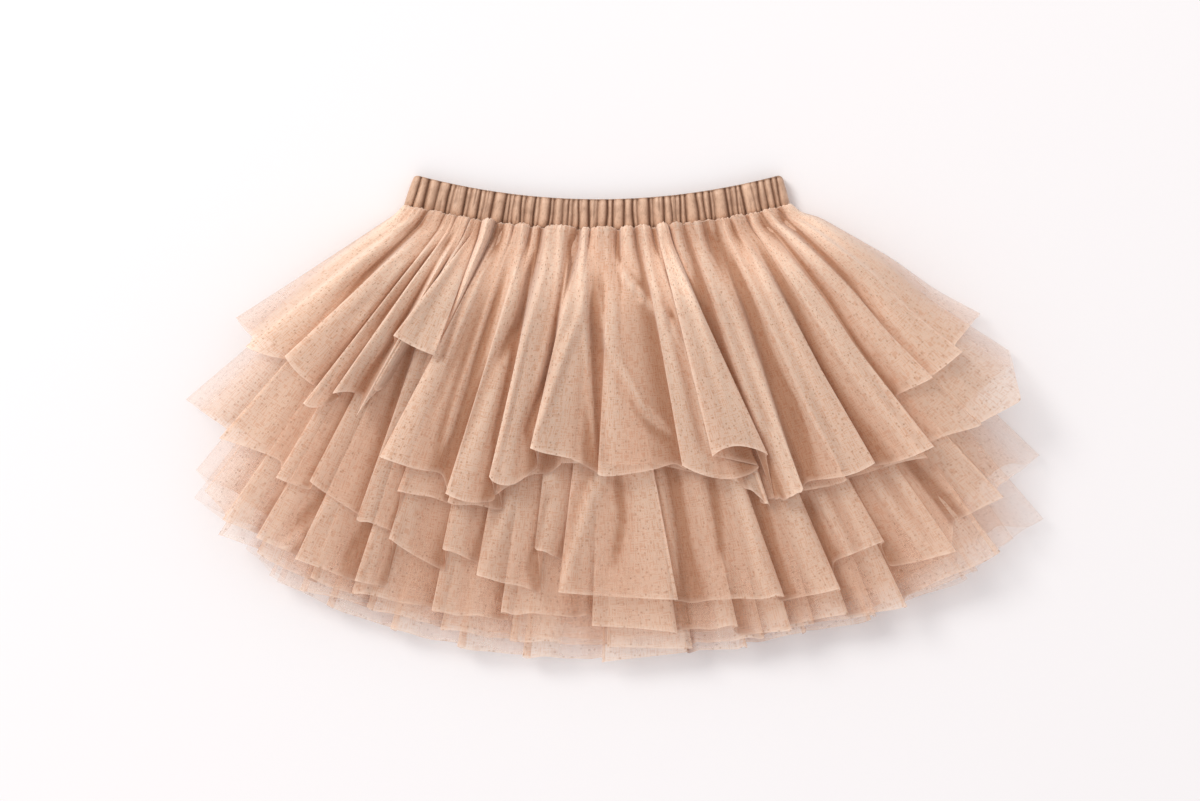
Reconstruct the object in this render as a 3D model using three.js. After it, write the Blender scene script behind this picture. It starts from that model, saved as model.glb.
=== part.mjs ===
// Tulle skirt for a small child, laid flat on its back panel.
// Millimetres, +X right, +Y to the waist, +Z up.
// Six ruffles hang from one gathered waistband: three tiers, each of an over and an under ruffle.
// Each ruffle is a closed tube that goes down the front and back under itself.
import * as THREE from "three";

// Cloth and seams
const WALL = 1.0;
const WAIST_GAP = 0.3;
const WAIST_INSET = 2.2;
const FOLD_UNDERCUT = 2.5;
const MOST_EXTENDED = 1.15;
const FOLD_SHARE = 0.8;
const PANEL_SHARE = 0.1;
const MITRE_LIMIT = 2.4;
const SHORTEST_VECTOR = 1e-3;

// Seam line under the waistband: half width, middle and sag of the curve
const SEAM_HALF = 116;
const SEAM_X = -9.6;
const SEAM_Y = 112;
const SEAM_RISE = 14.3;

// Distances below the seam at which every ruffle has a row of points
const NEAR_ROWS = [0, 11, 32, 62];

// Side edges: how soon the cloth climbs from the edge to its full height
const SIDE_EDGE = 3;
const SIDE_CLIMB = 3.4;
const SIDE_TIP = 0.5;
const SIDE_FOLD_SPREAD = 0.16;

// Share of a fold's height along one fold, from its upper edge to the end tucked under the next one
const FOLD_PROFILE = [
  { along: 0, high: 1 },
  { along: 0.3, high: 0.96 },
  { along: 0.7, high: 0.6 },
  { along: 1, high: 0 },
];
const PANEL_PROFILE = [
  { along: 0, high: 0.9 },
  { along: 0.33, high: 1.1 },
  { along: 0.67, high: 1.1 },
  { along: 1, high: 0.9 },
];

// Waistband: flat elastic casing gathered on its front
const BAND_GAP = 0.4;
const BAND_TOP_HALF = 111;
const BAND_TOP_X = -9;
const BAND_TOP_Y = 131;
const BAND_TOP_RISE = 15;
const BAND_BACK_WALL = 2.4;
const BAND_HOLLOW = 3.8;
const BAND_FRONT_WALL = 3;
const BAND_SIDE_WALL = 2.8;
const BAND_ROLL = 0.9;
const BAND_ROWS = [0, 0.1, 0.5, 0.9, 1];
const BAND_BACK_COLUMNS = 22;
const BAND_COLOUR = 0xd4ad94;

// One row for each gather on the front of the band: place along the seam and depth of its valley
const GATHER_COLUMNS = ["x", "deep"];
const GATHERS = [
  [-109, 0.9], [-101, 0.8], [-88, 1.1], [-78.5, 0.8], [-70, 1.1], [-65.5, 0.6], [-60, 1.0],
  [-55, 0.7], [-49, 1.1], [-42.5, 0.9], [-37, 0.7], [-29.5, 1.2], [-24.5, 0.8], [-20, 0.7],
  [-13, 1.1], [-8.5, 0.6], [-4, 0.9], [5.5, 1.2], [10, 0.8], [21, 1.0], [26, 0.7],
  [33, 1.1], [39, 0.8], [47, 1.2], [51.5, 0.7], [66.5, 1.1], [75, 0.8], [80, 1.0],
  [86, 0.9], [90.5, 0.6], [96.5, 1.0], [101, 0.8], [105, 0.7], [109.5, 0.9],
];

// Back panels
const BACK_COLUMNS = 20;
const BACK_HALF = 107;
const BACK_SHORTER = 0.955;
const BACK_WAVE = 0.25;
const BACK_SPREAD = 0.1;
const BACK_BLEND = 14;
const SMALLEST_WEIGHT = 1e-3;

// Turns rows of a table into objects with the names of its columns.
const table = (columns, rows) =>
  rows.map((row) => Object.fromEntries(columns.map((name, i) => [name, row[i]])));

// One row for each fold along the front hem, from left to right. An out fold has its upper edge on the
// left, an in fold on the right, and a both fold is a flat panel with two upper edges.
const FOLD_COLUMNS = ["opens", "lead_x", "lead_y", "dive_x", "dive_y", "seam_x"];

const TIER_1_OVER = table(FOLD_COLUMNS, [
  ["out", -226, 60, -208, 41, -116],
  ["out", -219, 43, -186, 34, -106],
  ["out", -195, 35, -165, 19, -96],
  ["out", -175, 12, -143, 14, -87],
  ["out", -152, 1, -111, 38, -78],
  ["out", -139, -23, -101, -33, -58],
  ["out", -100, -49, -72, -48, -40],
  ["out", -76, -35, -28, -29, -31],
  ["out", -50, -17, -2, -34, -8],
  ["out", -10, -35, 60, -34, 13],
  ["both", 57, -23, 93, -22, 36],
  ["in", 113, -41, 89, -52, 70],
  ["in", 155, -23, 128, -36, 83],
  ["in", 191, -17, 155, -30, 94],
  ["in", 190, 25, 168, 13, 101],
  ["in", 208, 40, 188, 20, 109],
  ["in", 220, 62, 205, 44, 116],
]);

const TIER_1_UNDER = table(FOLD_COLUMNS, [
  ["out", -256, 11, -229, -7, -116],
  ["out", -235, -11, -197, -26, -108],
  ["out", -201, -35, -166, -49, -100],
  ["out", -181, -37, -148, -60, -92],
  ["out", -153, -60, -127, -68, -84],
  ["out", -129, -43, -98, -51, -63],
  ["out", -99, -50, -68, -55, -45],
  ["out", -71, -46, -40, -33, -27],
  ["both", -33, -27, 21, -27, -4],
  ["in", 94, -53, 60, -34, 56],
  ["in", 140, -37, 96, -50, 73],
  ["in", 188, -23, 142, -37, 87],
  ["in", 220, -3, 190, -17, 99],
  ["in", 238, 20, 213, 2, 116],
]);

const TIER_2_OVER = table(FOLD_COLUMNS, [
  ["out", -250, -31, -231, -50, -116],
  ["out", -244, -44, -217, -68, -109],
  ["out", -233, -60, -195, -77, -102],
  ["out", -213, -70, -176, -88, -95],
  ["out", -190, -84, -151, -98, -88],
  ["out", -154, -97, -116, -104, -79],
  ["out", -134, -72, -105, -91, -70],
  ["out", -102, -77, -82, -88, -57],
  ["out", -82, -93, -38, -106, -40],
  ["out", -47, -77, -22, -89, -19],
  ["both", -34, -104, 40, -108, 4],
  ["in", 103, -106, 71, -110, 40],
  ["in", 136, -102, 104, -109, 56],
  ["in", 162, -73, 131, -86, 67],
  ["in", 205, -79, 172, -91, 80],
  ["in", 233, -47, 209, -61, 93],
  ["in", 256, -22, 230, -42, 116],
]);

const TIER_2_UNDER = table(FOLD_COLUMNS, [
  ["out", -251, -48, -228, -64, -116],
  ["out", -236, -69, -211, -79, -110],
  ["out", -213, -80, -175, -100, -103],
  ["out", -181, -95, -153, -107, -93],
  ["out", -157, -104, -109, -114, -81],
  ["out", -109, -115, -68, -121, -59],
  ["out", -68, -116, -14, -119, -31],
  ["both", -14, -124, 40, -128, 9],
  ["in", 75, -124, 46, -127, 35],
  ["in", 107, -127, 79, -129, 52],
  ["in", 141, -116, 111, -124, 67],
  ["in", 176, -113, 147, -118, 81],
  ["in", 232, -80, 184, -107, 100],
  ["in", 258, -60, 236, -77, 116],
]);

const TIER_3_OVER = table(FOLD_COLUMNS, [
  ["out", -220, -78, -202, -94, -116],
  ["out", -206, -94, -181, -106, -100],
  ["out", -188, -102, -145, -114, -87],
  ["out", -148, -113, -100, -126, -70],
  ["out", -104, -126, -58, -133, -46],
  ["out", -63, -133, -14, -134, -22],
  ["both", -5, -137, 49, -138, 14],
  ["in", 91, -131, 52, -135, 47],
  ["in", 121, -122, 94, -130, 65],
  ["in", 158, -118, 125, -122, 81],
  ["in", 219, -91, 163, -113, 100],
  ["in", 240, -72, 220, -88, 116],
]);

const TIER_3_UNDER = table(FOLD_COLUMNS, [
  ["out", -212, -84, -194, -98, -116],
  ["out", -202, -97, -166, -114, -98],
  ["out", -172, -112, -128, -127, -83],
  ["out", -134, -126, -89, -137, -64],
  ["out", -94, -137, -50, -143, -41],
  ["out", -55, -143, -8, -144, -19],
  ["both", -8, -146, 46, -140, 13],
  ["in", 81, -137, 49, -140, 43],
  ["in", 116, -128, 83, -135, 63],
  ["in", 155, -121, 119, -128, 81],
  ["in", 213, -96, 163, -118, 99],
  ["in", 231, -81, 214, -94, 116],
]);

// One row for each ruffle, outermost first: heights of the middle of its wall above the table on the
// front and the back, the height of its folds, and the share of its length at which its far row lies.
const RUFFLE_COLUMNS = [
  "name",
  "folds",
  "front_body",
  "front_hem",
  "back_body",
  "back_hem",
  "side_body",
  "side_hem",
  "fold_body",
  "fold_hem",
  "far_row",
  "rise",
  "side_spread",
  "colour",
];

const RUFFLES = table(RUFFLE_COLUMNS, [
  ["tier_1_over", TIER_1_OVER, 39.4, 38.6, 0.5, 0.5, 5, 6, 6, 7, 0.45, 52, 0.3, 0xdcb79c],
  ["tier_1_under", TIER_1_UNDER, 33.6, 33, 2.6, 2.6, 7, 6, 3.6, 3.6, 0.45, 58, 0.16, 0xd9b398],
  ["tier_2_over", TIER_2_OVER, 28.2, 26.6, 4.9, 0.5, 9, 6, 3.6, 4.4, 0.76, 61, 0.16, 0xdcb79c],
  ["tier_2_under", TIER_2_UNDER, 23.2, 19.6, 7.2, 2.8, 11, 8, 3, 4, 0.72, 62, 0.16, 0xd9b398],
  ["tier_3_over", TIER_3_OVER, 18.6, 14.4, 9.5, 5.1, 12, 8.4, 2.4, 3.2, 0.66, 62, 0.16, 0xdfbda5],
  ["tier_3_under", TIER_3_UNDER, 14.8, 10.4, 11.8, 7.4, 13.3, 8.9, 2.2, 2.6, 0.66, 62, 0.02, 0xdcb79c],
]);

const WAIST_PITCH = WALL + WAIST_GAP;
const WAIST_STACK = 2 * RUFFLES.length * WAIST_PITCH - WAIST_GAP;

const mix = (a, b, t) => a + (b - a) * t;
const clamp01 = (t) => Math.min(1, Math.max(0, t));
const ease = (t) => clamp01(t) * clamp01(t) * (3 - 2 * clamp01(t));
const round = (t) => clamp01(t) * (2 - clamp01(t));
const seamY = (x) => SEAM_Y + SEAM_RISE * ((x - SEAM_X) / SEAM_HALF) ** 2;

// Front columns of a ruffle: where each lies on the seam and on the hem, and how high it is in its fold.
function frontColumns(folds) {
  const columns = [];
  folds.forEach((fold, i) => {
    const before = folds[i - 1];
    const after = folds[i + 1];
    const lead = { x: fold.lead_x, y: fold.lead_y };
    const dive = { x: fold.dive_x, y: fold.dive_y };
    const limit = SEAM_HALF - SIDE_EDGE;
    const seamOf = (other) => Math.min(limit, Math.max(-limit, other.seam_x));
    const own = seamOf(fold);
    const toNext = after ? seamOf(after) - own : 0;
    const toLast = before ? own - seamOf(before) : 0;
    const spans = {
      out: [own, own + FOLD_SHARE * toNext],
      both: [own - PANEL_SHARE * toLast, own + PANEL_SHARE * toNext],
      in: [own - FOLD_SHARE * toLast, own],
    };
    const neighbour = fold.opens === "out" ? after : before;
    if (fold.opens !== "both" && neighbour) {
      const sign = fold.opens === "out" ? 1 : -1;
      const usesDive = fold.opens === "in" && neighbour.opens === "both";
      const edge = usesDive
        ? { x: neighbour.dive_x, y: neighbour.dive_y }
        : { x: neighbour.lead_x, y: neighbour.lead_y };
      const rootX = SEAM_X + seamOf(neighbour);
      const rootY = seamY(rootX);
      const level = Math.min(MOST_EXTENDED, (rootY - dive.y) / (rootY - edge.y));
      const reach = mix(rootX, edge.x, level) + sign * FOLD_UNDERCUT;
      const over = (dive.x - reach) * sign;
      if (over > 0) {
        const kept = clamp01((reach - lead.x) / (dive.x - lead.x));
        dive.x = mix(lead.x, dive.x, kept);
        dive.y = mix(lead.y, dive.y, kept);
      }
    }
    const shape = fold.opens === "both" ? PANEL_PROFILE : FOLD_PROFILE;
    const points = shape.map((at) => ({
      hem: { x: mix(lead.x, dive.x, at.along), y: mix(lead.y, dive.y, at.along) },
      along: at.along,
      high: at.high,
    }));
    if (fold.opens === "in") {
      points.reverse();
    }
    const span = spans[fold.opens];
    points.forEach((point, n) => {
      const seam = mix(span[0], span[1], n / (points.length - 1));
      columns.push({ seam, hem: point.hem, high: point.high, panel: "front" });
    });
  });
  return columns;
}

// Back columns follow the front hem, smoothed and a little shorter, from right to left.
function backColumns(front) {
  const columns = [];
  for (let i = 0; i < BACK_COLUMNS; i++) {
    const share = i / (BACK_COLUMNS - 1);
    const seam = mix(BACK_HALF, -BACK_HALF, share);
    const near = front
      .map((column) => ({ column, weight: Math.exp(-(((column.seam - seam) / BACK_BLEND) ** 2)) }))
      .filter((item) => item.weight > SMALLEST_WEIGHT);
    const total = near.reduce((sum, item) => sum + item.weight, 0);
    const x = near.reduce((sum, item) => sum + item.weight * item.column.hem.x, 0) / total;
    const y = near.reduce((sum, item) => sum + item.weight * item.column.hem.y, 0) / total;
    const root = { x: SEAM_X + seam, y: seamY(SEAM_X + seam) };
    const hem = { x: mix(root.x, x, BACK_SHORTER), y: mix(root.y, y, BACK_SHORTER) };
    columns.push({ seam, hem, high: i % 2, panel: "back" });
  }
  return columns;
}

// Middle of the cloth wall as a grid: rows from seam to hem, columns round the tube.
function ruffleGrid(ruffle, depth) {
  const front = frontColumns(ruffle.folds);
  const half = SEAM_HALF - depth * WAIST_INSET;
  const edge = (column, sign) => ({
    seam: sign * SEAM_HALF,
    hem: { ...column.hem },
    high: 0,
    panel: "side",
  });
  const left = edge(front[0], -1);
  const right = edge(front[front.length - 1], 1);
  [front[0], front[front.length - 1]].forEach((column, n) => {
    const inner = front[n === 0 ? 1 : front.length - 2];
    column.hem = {
      x: mix(column.hem.x, inner.hem.x, SIDE_TIP),
      y: mix(column.hem.y, inner.hem.y, SIDE_TIP),
    };
  });
  const underEdge = (column) => ({ ...column, high: 0, panel: "back" });
  const back = [underEdge(front[front.length - 1]), ...backColumns(front), underEdge(front[0])];
  const columns = [left, ...front, right, ...back];
  const pathOf = (column) => {
    const x = SEAM_X + (column.seam / SEAM_HALF) * half;
    const root = { x, y: seamY(x) };
    return { root, length: Math.hypot(column.hem.x - root.x, column.hem.y - root.y) };
  };
  const paths = columns.map(pathOf);
  const sideOf = { left: paths[0], right: paths[front.length + 1] };
  const rows = [...NEAR_ROWS.map((near) => ({ near })), { share: ruffle.far_row }, { share: 1 }];
  const last = NEAR_ROWS[NEAR_ROWS.length - 1];
  const at = (column, path, row) => {
    const along = row.near === undefined ? mix(last, path.length, row.share) : row.near;
    const share = along / path.length;
    return {
      along,
      x: mix(path.root.x, column.hem.x, share),
      y: mix(path.root.y, column.hem.y, share),
    };
  };
  const middle = WAIST_STACK / 2;
  const waistFront = WAIST_STACK - WALL / 2 - depth * WAIST_PITCH;
  const waistBack = WALL / 2 + depth * WAIST_PITCH;
  return rows.map((row) => {
    const pastFar = row.share === undefined ? 0 : (row.share - ruffle.far_row) / (1 - ruffle.far_row);
    const toHem = clamp01(pastFar);
    const tips = [at(left, sideOf.left, row), at(right, sideOf.right, row)];
    return columns.map((column, i) => {
      const point = at(column, paths[i], row);
      const rise = ease(point.along / ruffle.rise);
      const level = (waist, body, hem) => mix(waist, mix(body, hem, toHem), rise);
      const side = level(middle, ruffle.side_body, ruffle.side_hem);
      const tip = point.x < SEAM_X ? tips[0] : tips[1];
      const inward = Math.hypot(point.x - tip.x, point.y - tip.y);
      const backSpread = Math.min(ruffle.side_spread, BACK_SPREAD);
      const spread = column.panel === "back" ? backSpread : ruffle.side_spread;
      const up = round(inward / (SIDE_CLIMB + spread * point.along));
      const open = ease(inward / (SIDE_CLIMB + SIDE_FOLD_SPREAD * point.along));
      const fold = open * rise * mix(ruffle.fold_body, ruffle.fold_hem, toHem) * column.high;
      const heights = {
        side,
        front: mix(side, level(waistFront, ruffle.front_body, ruffle.front_hem), up) + fold,
        back: mix(side, level(waistBack, ruffle.back_body, ruffle.back_hem), up),
      };
      const wave = column.panel === "back" ? BACK_WAVE * column.high * rise * Math.min(depth, 1) : 0;
      return new THREE.Vector3(point.x, point.y, heights[column.panel] + wave);
    });
  });
}

// Unit normal of the wall at each grid point, lengthened at creases so that the wall keeps its thickness.
function wallOffsets(grid) {
  const rows = grid.length;
  const count = grid[0].length;
  return grid.map((line, j) =>
    line.map((point, i) => {
      const down = grid[Math.min(j + 1, rows - 1)][i].clone().sub(grid[Math.max(j - 1, 0)][i]);
      const before = point.clone().sub(line[(i + count - 1) % count]);
      const after = line[(i + 1) % count].clone().sub(point);
      const n1 = down.clone().cross(before).normalize();
      const n2 = down.clone().cross(after).normalize();
      const sum = n1.clone().add(n2);
      const bisector = sum.length() < SHORTEST_VECTOR ? n1 : sum.normalize();
      const stretch = Math.min(MITRE_LIMIT, 1 / Math.max(SHORTEST_VECTOR, bisector.dot(n1)));
      const offset = bisector.multiplyScalar(stretch * (WALL / 2));
      if (j === 0) {
        offset.y = Math.min(offset.y, 0);
      }
      return offset;
    }),
  );
}

// Closed solid between the two faces of a tube wall.
function tubeSolid(outer, inner) {
  const rows = outer.length;
  const count = outer[0].length;
  const positions = [...outer.flat(), ...inner.flat()].flatMap((p) => [p.x, p.y, p.z]);
  const index = [];
  const id = (face, j, i) => face * rows * count + j * count + (i % count);
  const quad = (a, b, c, d) => index.push(a, b, c, a, c, d);
  for (let j = 0; j < rows - 1; j++) {
    for (let i = 0; i < count; i++) {
      quad(id(0, j, i), id(0, j + 1, i), id(0, j + 1, i + 1), id(0, j, i + 1));
      quad(id(1, j, i), id(1, j, i + 1), id(1, j + 1, i + 1), id(1, j + 1, i));
    }
  }
  for (let i = 0; i < count; i++) {
    quad(id(0, 0, i), id(0, 0, i + 1), id(1, 0, i + 1), id(1, 0, i));
    quad(id(0, rows - 1, i), id(1, rows - 1, i), id(1, rows - 1, i + 1), id(0, rows - 1, i + 1));
  }
  const geometry = new THREE.BufferGeometry();
  geometry.setAttribute("position", new THREE.Float32BufferAttribute(positions, 3));
  geometry.setIndex(index);
  geometry.computeVertexNormals();
  return geometry;
}

// Outer and inner faces of the band: rows from its top edge to the seam, columns round the tube.
function bandGeometry() {
  const valleys = table(GATHER_COLUMNS, GATHERS);
  const columns = [{ place: -SEAM_HALF, panel: "side", deep: 0 }];
  valleys.forEach((valley, i) => {
    const next = valleys[i + 1];
    columns.push({ place: valley.x, panel: "front", deep: valley.deep });
    if (next) {
      columns.push({ place: (valley.x + next.x) / 2, panel: "front", deep: 0 });
    }
  });
  columns.push({ place: SEAM_HALF, panel: "side", deep: 0 });
  for (let i = 0; i < BAND_BACK_COLUMNS; i++) {
    const place = mix(valleys[valleys.length - 1].x, valleys[0].x, i / (BAND_BACK_COLUMNS - 1));
    columns.push({ place, panel: "back", deep: 0 });
  }
  const top = BAND_BACK_WALL + BAND_HOLLOW + BAND_FRONT_WALL;
  const middle = BAND_BACK_WALL + BAND_HOLLOW / 2;
  const face = (inner) =>
    BAND_ROWS.map((row) =>
      columns.map(({ place, panel, deep }) => {
        const across = (place / SEAM_HALF) * (inner ? 1 - BAND_SIDE_WALL / SEAM_HALF : 1);
        const low = { x: SEAM_X + across * SEAM_HALF };
        const high = {
          x: BAND_TOP_X + across * BAND_TOP_HALF,
          y: BAND_TOP_Y + BAND_TOP_RISE * across ** 2,
        };
        low.y = seamY(low.x) + BAND_GAP;
        const roll = row === 0 || row === 1 ? BAND_ROLL : 0;
        const outerHeights = { side: middle, front: top - deep - roll, back: roll };
        const innerHeights = { side: middle, front: BAND_BACK_WALL + BAND_HOLLOW, back: BAND_BACK_WALL };
        const z = (inner ? innerHeights : outerHeights)[panel];
        return new THREE.Vector3(mix(high.x, low.x, row), mix(high.y, low.y, row), z);
      }),
    );
  return tubeSolid(face(false), face(true));
}

function ruffleGeometry(ruffle, depth) {
  const grid = ruffleGrid(ruffle, depth);
  const offsets = wallOffsets(grid);
  const moved = (sign) =>
    grid.map((line, j) =>
      line.map((point, i) => {
        const place = point.clone().addScaledVector(offsets[j][i], sign);
        place.z = Math.max(place.z, 0);
        return place;
      }),
    );
  return tubeSolid(moved(1), moved(-1));
}

const skirt = new THREE.Group();
skirt.name = "tulle_skirt";

function cloth(name, geometry, colour) {
  const material = new THREE.MeshStandardMaterial({ color: colour, roughness: 0.9, metalness: 0 });
  const mesh = new THREE.Mesh(geometry, material);
  mesh.name = name;
  skirt.add(mesh);
}

cloth("waistband", bandGeometry(), BAND_COLOUR);
RUFFLES.forEach((ruffle, depth) => cloth(ruffle.name, ruffleGeometry(ruffle, depth), ruffle.colour));

// The origin is under the middle of the whole skirt, on the table.
const middle = new THREE.Box3().setFromObject(skirt).getCenter(new THREE.Vector3());
skirt.children.forEach((mesh) => mesh.geometry.translate(-middle.x, -middle.y, 0));

export default skirt;
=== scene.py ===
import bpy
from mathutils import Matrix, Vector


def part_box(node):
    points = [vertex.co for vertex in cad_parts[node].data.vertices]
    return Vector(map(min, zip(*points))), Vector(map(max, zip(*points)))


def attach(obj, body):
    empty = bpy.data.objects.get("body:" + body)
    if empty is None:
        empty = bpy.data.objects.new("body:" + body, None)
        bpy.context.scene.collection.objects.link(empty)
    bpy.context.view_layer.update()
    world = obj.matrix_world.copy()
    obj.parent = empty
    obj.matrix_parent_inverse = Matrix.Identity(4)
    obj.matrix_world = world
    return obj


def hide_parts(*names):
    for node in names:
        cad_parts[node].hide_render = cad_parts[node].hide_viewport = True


bl_info = {
    "name": "Tulle skirt, laid flat",
    "version": (1, 0, 0),
    "blender": (4, 5, 0),
    "location": "3D View > Sidebar > Skirt",
    "description": "A child's three-tier tulle skirt with a gathered satin waistband, laid flat",
    "category": "Add Mesh",
}

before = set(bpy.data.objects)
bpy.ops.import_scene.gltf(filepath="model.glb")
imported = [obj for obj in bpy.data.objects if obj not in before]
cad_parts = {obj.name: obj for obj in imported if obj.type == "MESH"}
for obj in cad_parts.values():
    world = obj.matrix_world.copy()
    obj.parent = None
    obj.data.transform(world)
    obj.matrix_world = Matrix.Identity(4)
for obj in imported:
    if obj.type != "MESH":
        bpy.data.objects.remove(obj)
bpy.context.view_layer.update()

import math

import bpy
import numpy as np
from bpy.props import FloatProperty, FloatVectorProperty, IntProperty, PointerProperty

# Millimetres in the tables and the maths of the cloth, metres in Blender.
MM = 0.001

# Seam line under the waistband and the band's upper edge, as in the solids
SEAM_HALF = 116.0
SEAM_X = -9.6
SEAM_Y = 112.0
SEAM_RISE = 14.3
BAND_TOP_HALF = 111.0
BAND_TOP_X = -9.0
BAND_TOP_Y = 131.0
BAND_TOP_RISE = 15.0
BAND_GAP = 0.4

# The solids were moved so that the origin is under the middle: the waistband's box says how far.
BAND_LOW, BAND_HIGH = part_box("waistband")
SHIFT_X = (BAND_LOW[0] + BAND_HIGH[0]) / 2 / MM - SEAM_X

# Rows down each ruffle: distances from the seam, shares of the rest, and distances from the cut edge
NEAR_ROWS = (0.0, 0.9, 1.9, 3.0, 4.4, 6.2, 8.4, 11.0, 14.2, 18.0, 22.5, 27.5, 33.0, 39.0, 46.0, 54.0, 62.0)
FAR_STEPS = 19
FAR_SHARES = tuple(np.linspace(0, 1, FAR_STEPS)[1:-1])
EDGE_ROWS = (3.4, 1.2, 0.5, 0.0)

# One row for each fold along the front hem, left to right, as in the solids. An out fold has its upper
# edge on the left, an in fold on the right, and a both fold is a flat panel with two upper edges.
FOLD_COLUMNS = ("opens", "lead_x", "lead_y", "dive_x", "dive_y", "seam_x", "lift", "bulge", "tuck")

FOLDS = {
    "tier_1_over": (
        ("out", -226, 60, -208, 41, -116),
        ("out", -219, 43, -186, 34, -106, 1, 2),
        ("out", -195, 37, -172, 16, -96, 1.3, 2),
        ("out", -184, 9, -160, 12, -88, 1, 6),
        ("out", -167, 15, -149, 13, -84, 1.3, -3),
        ("out", -153, 0, -138, 17, -80, 1.2, -4),
        ("out", -142, 19, -114, 31, -75, 1.2, 5),
        ("both", -131, 49, -105, 36, -69, 1.6, 1),
        ("out", -139, -22, -101, -33, -58, 1.1, 2),
        ("out", -100, -45, -69, -49, -42, 1, 3),
        ("out", -74, -35, -28, -25, -33, 1.2, 8),
        ("out", -50, -18, -8, -33, -12, 1.5, -2),
        ("out", -10, -34, 38, -27, 6, 0.8, 2),
        ("out", 40, -28, 88, -28, 24, 0.7, 9, 40),
        ("both", 58, -24, 93, -22, 36, 1.5, -6.5),
        ("in", 113, -42, 89, -51, 70, 1, 2),
        ("in", 156, -26, 114, -38, 83, 1.4, 3),
        ("in", 191, -17, 150, -30, 94, 1.2, 1),
        ("in", 190, 25, 168, 13, 101),
        ("in", 208, 40, 184, 20, 109),
        ("in", 220, 62, 203, 44, 116),
    ),
    "tier_1_under": (
        ("out", -256, 11, -229, -7, -116),
        ("out", -235, -11, -197, -26, -108),
        ("out", -201, -35, -166, -49, -100),
        ("out", -181, -37, -148, -60, -92),
        ("out", -153, -60, -122, -70, -84),
        ("out", -129, -43, -94, -51, -63),
        ("out", -99, -50, -64, -55, -45),
        ("out", -71, -46, -36, -32, -27, 1, -3),
        ("both", -33, -27, 21, -27, -4),
        ("in", 94, -53, 60, -34, 56, 1, -4),
        ("in", 140, -37, 86, -50, 73),
        ("in", 188, -23, 132, -37, 87),
        ("in", 220, -3, 182, -17, 99),
        ("in", 237, 41, 243, 10, 116),
    ),
    "tier_2_over": (
        ("out", -250, -31, -231, -50, -116),
        ("out", -244, -44, -217, -68, -109),
        ("out", -233, -60, -195, -77, -102),
        ("out", -213, -70, -176, -88, -95),
        ("out", -190, -84, -146, -99, -88),
        ("out", -154, -97, -116, -104, -79),
        ("out", -134, -72, -100, -92, -70),
        ("out", -102, -77, -78, -88, -57),
        ("out", -82, -93, -38, -106, -40),
        ("out", -47, -77, -22, -89, -19),
        ("both", -34, -104, 40, -108, 4),
        ("in", 103, -106, 38, -110, 40),
        ("in", 136, -102, 98, -109, 56),
        ("in", 162, -73, 131, -86, 67),
        ("in", 205, -79, 160, -91, 80),
        ("in", 233, -47, 203, -61, 93),
        ("in", 256, -22, 228, -42, 116),
    ),
    "tier_2_under": (
        ("out", -251, -48, -228, -64, -116),
        ("out", -236, -69, -209, -79, -110),
        ("out", -213, -80, -175, -100, -103),
        ("out", -181, -95, -149, -108, -93),
        ("out", -157, -104, -102, -114, -81),
        ("out", -109, -115, -62, -121, -59),
        ("out", -68, -116, -10, -119, -31),
        ("both", -14, -124, 40, -128, 9),
        ("in", 75, -124, 38, -127, 35),
        ("in", 107, -127, 72, -129, 52),
        ("in", 141, -116, 104, -124, 67),
        ("in", 176, -113, 138, -118, 81),
        ("in", 232, -80, 174, -107, 100),
        ("in", 258, -60, 230, -77, 116),
    ),
    "tier_3_over": (
        ("out", -220, -78, -202, -94, -116),
        ("out", -206, -94, -181, -106, -100),
        ("out", -188, -102, -142, -114, -87),
        ("out", -148, -113, -98, -126, -70),
        ("out", -104, -126, -56, -133, -46),
        ("out", -63, -133, 0, -136, -22),
        ("both", -5, -137, 49, -138, 14),
        ("in", 91, -131, 46, -135, 47),
        ("in", 121, -122, 88, -130, 65),
        ("in", 158, -118, 118, -122, 81),
        ("in", 219, -91, 155, -113, 100),
        ("in", 240, -72, 216, -88, 116),
    ),
    "tier_3_under": (
        ("out", -212, -84, -194, -98, -116),
        ("out", -202, -97, -166, -114, -98),
        ("out", -172, -112, -128, -127, -83),
        ("out", -134, -126, -86, -137, -64),
        ("out", -94, -137, -48, -143, -41),
        ("out", -55, -143, -4, -144, -19),
        ("both", -8, -146, 46, -140, 13),
        ("in", 81, -137, 44, -140, 43),
        ("in", 116, -128, 78, -135, 63),
        ("in", 155, -121, 114, -128, 81),
        ("in", 213, -96, 153, -118, 99),
        ("in", 231, -81, 210, -94, 116),
    ),
}

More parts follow.
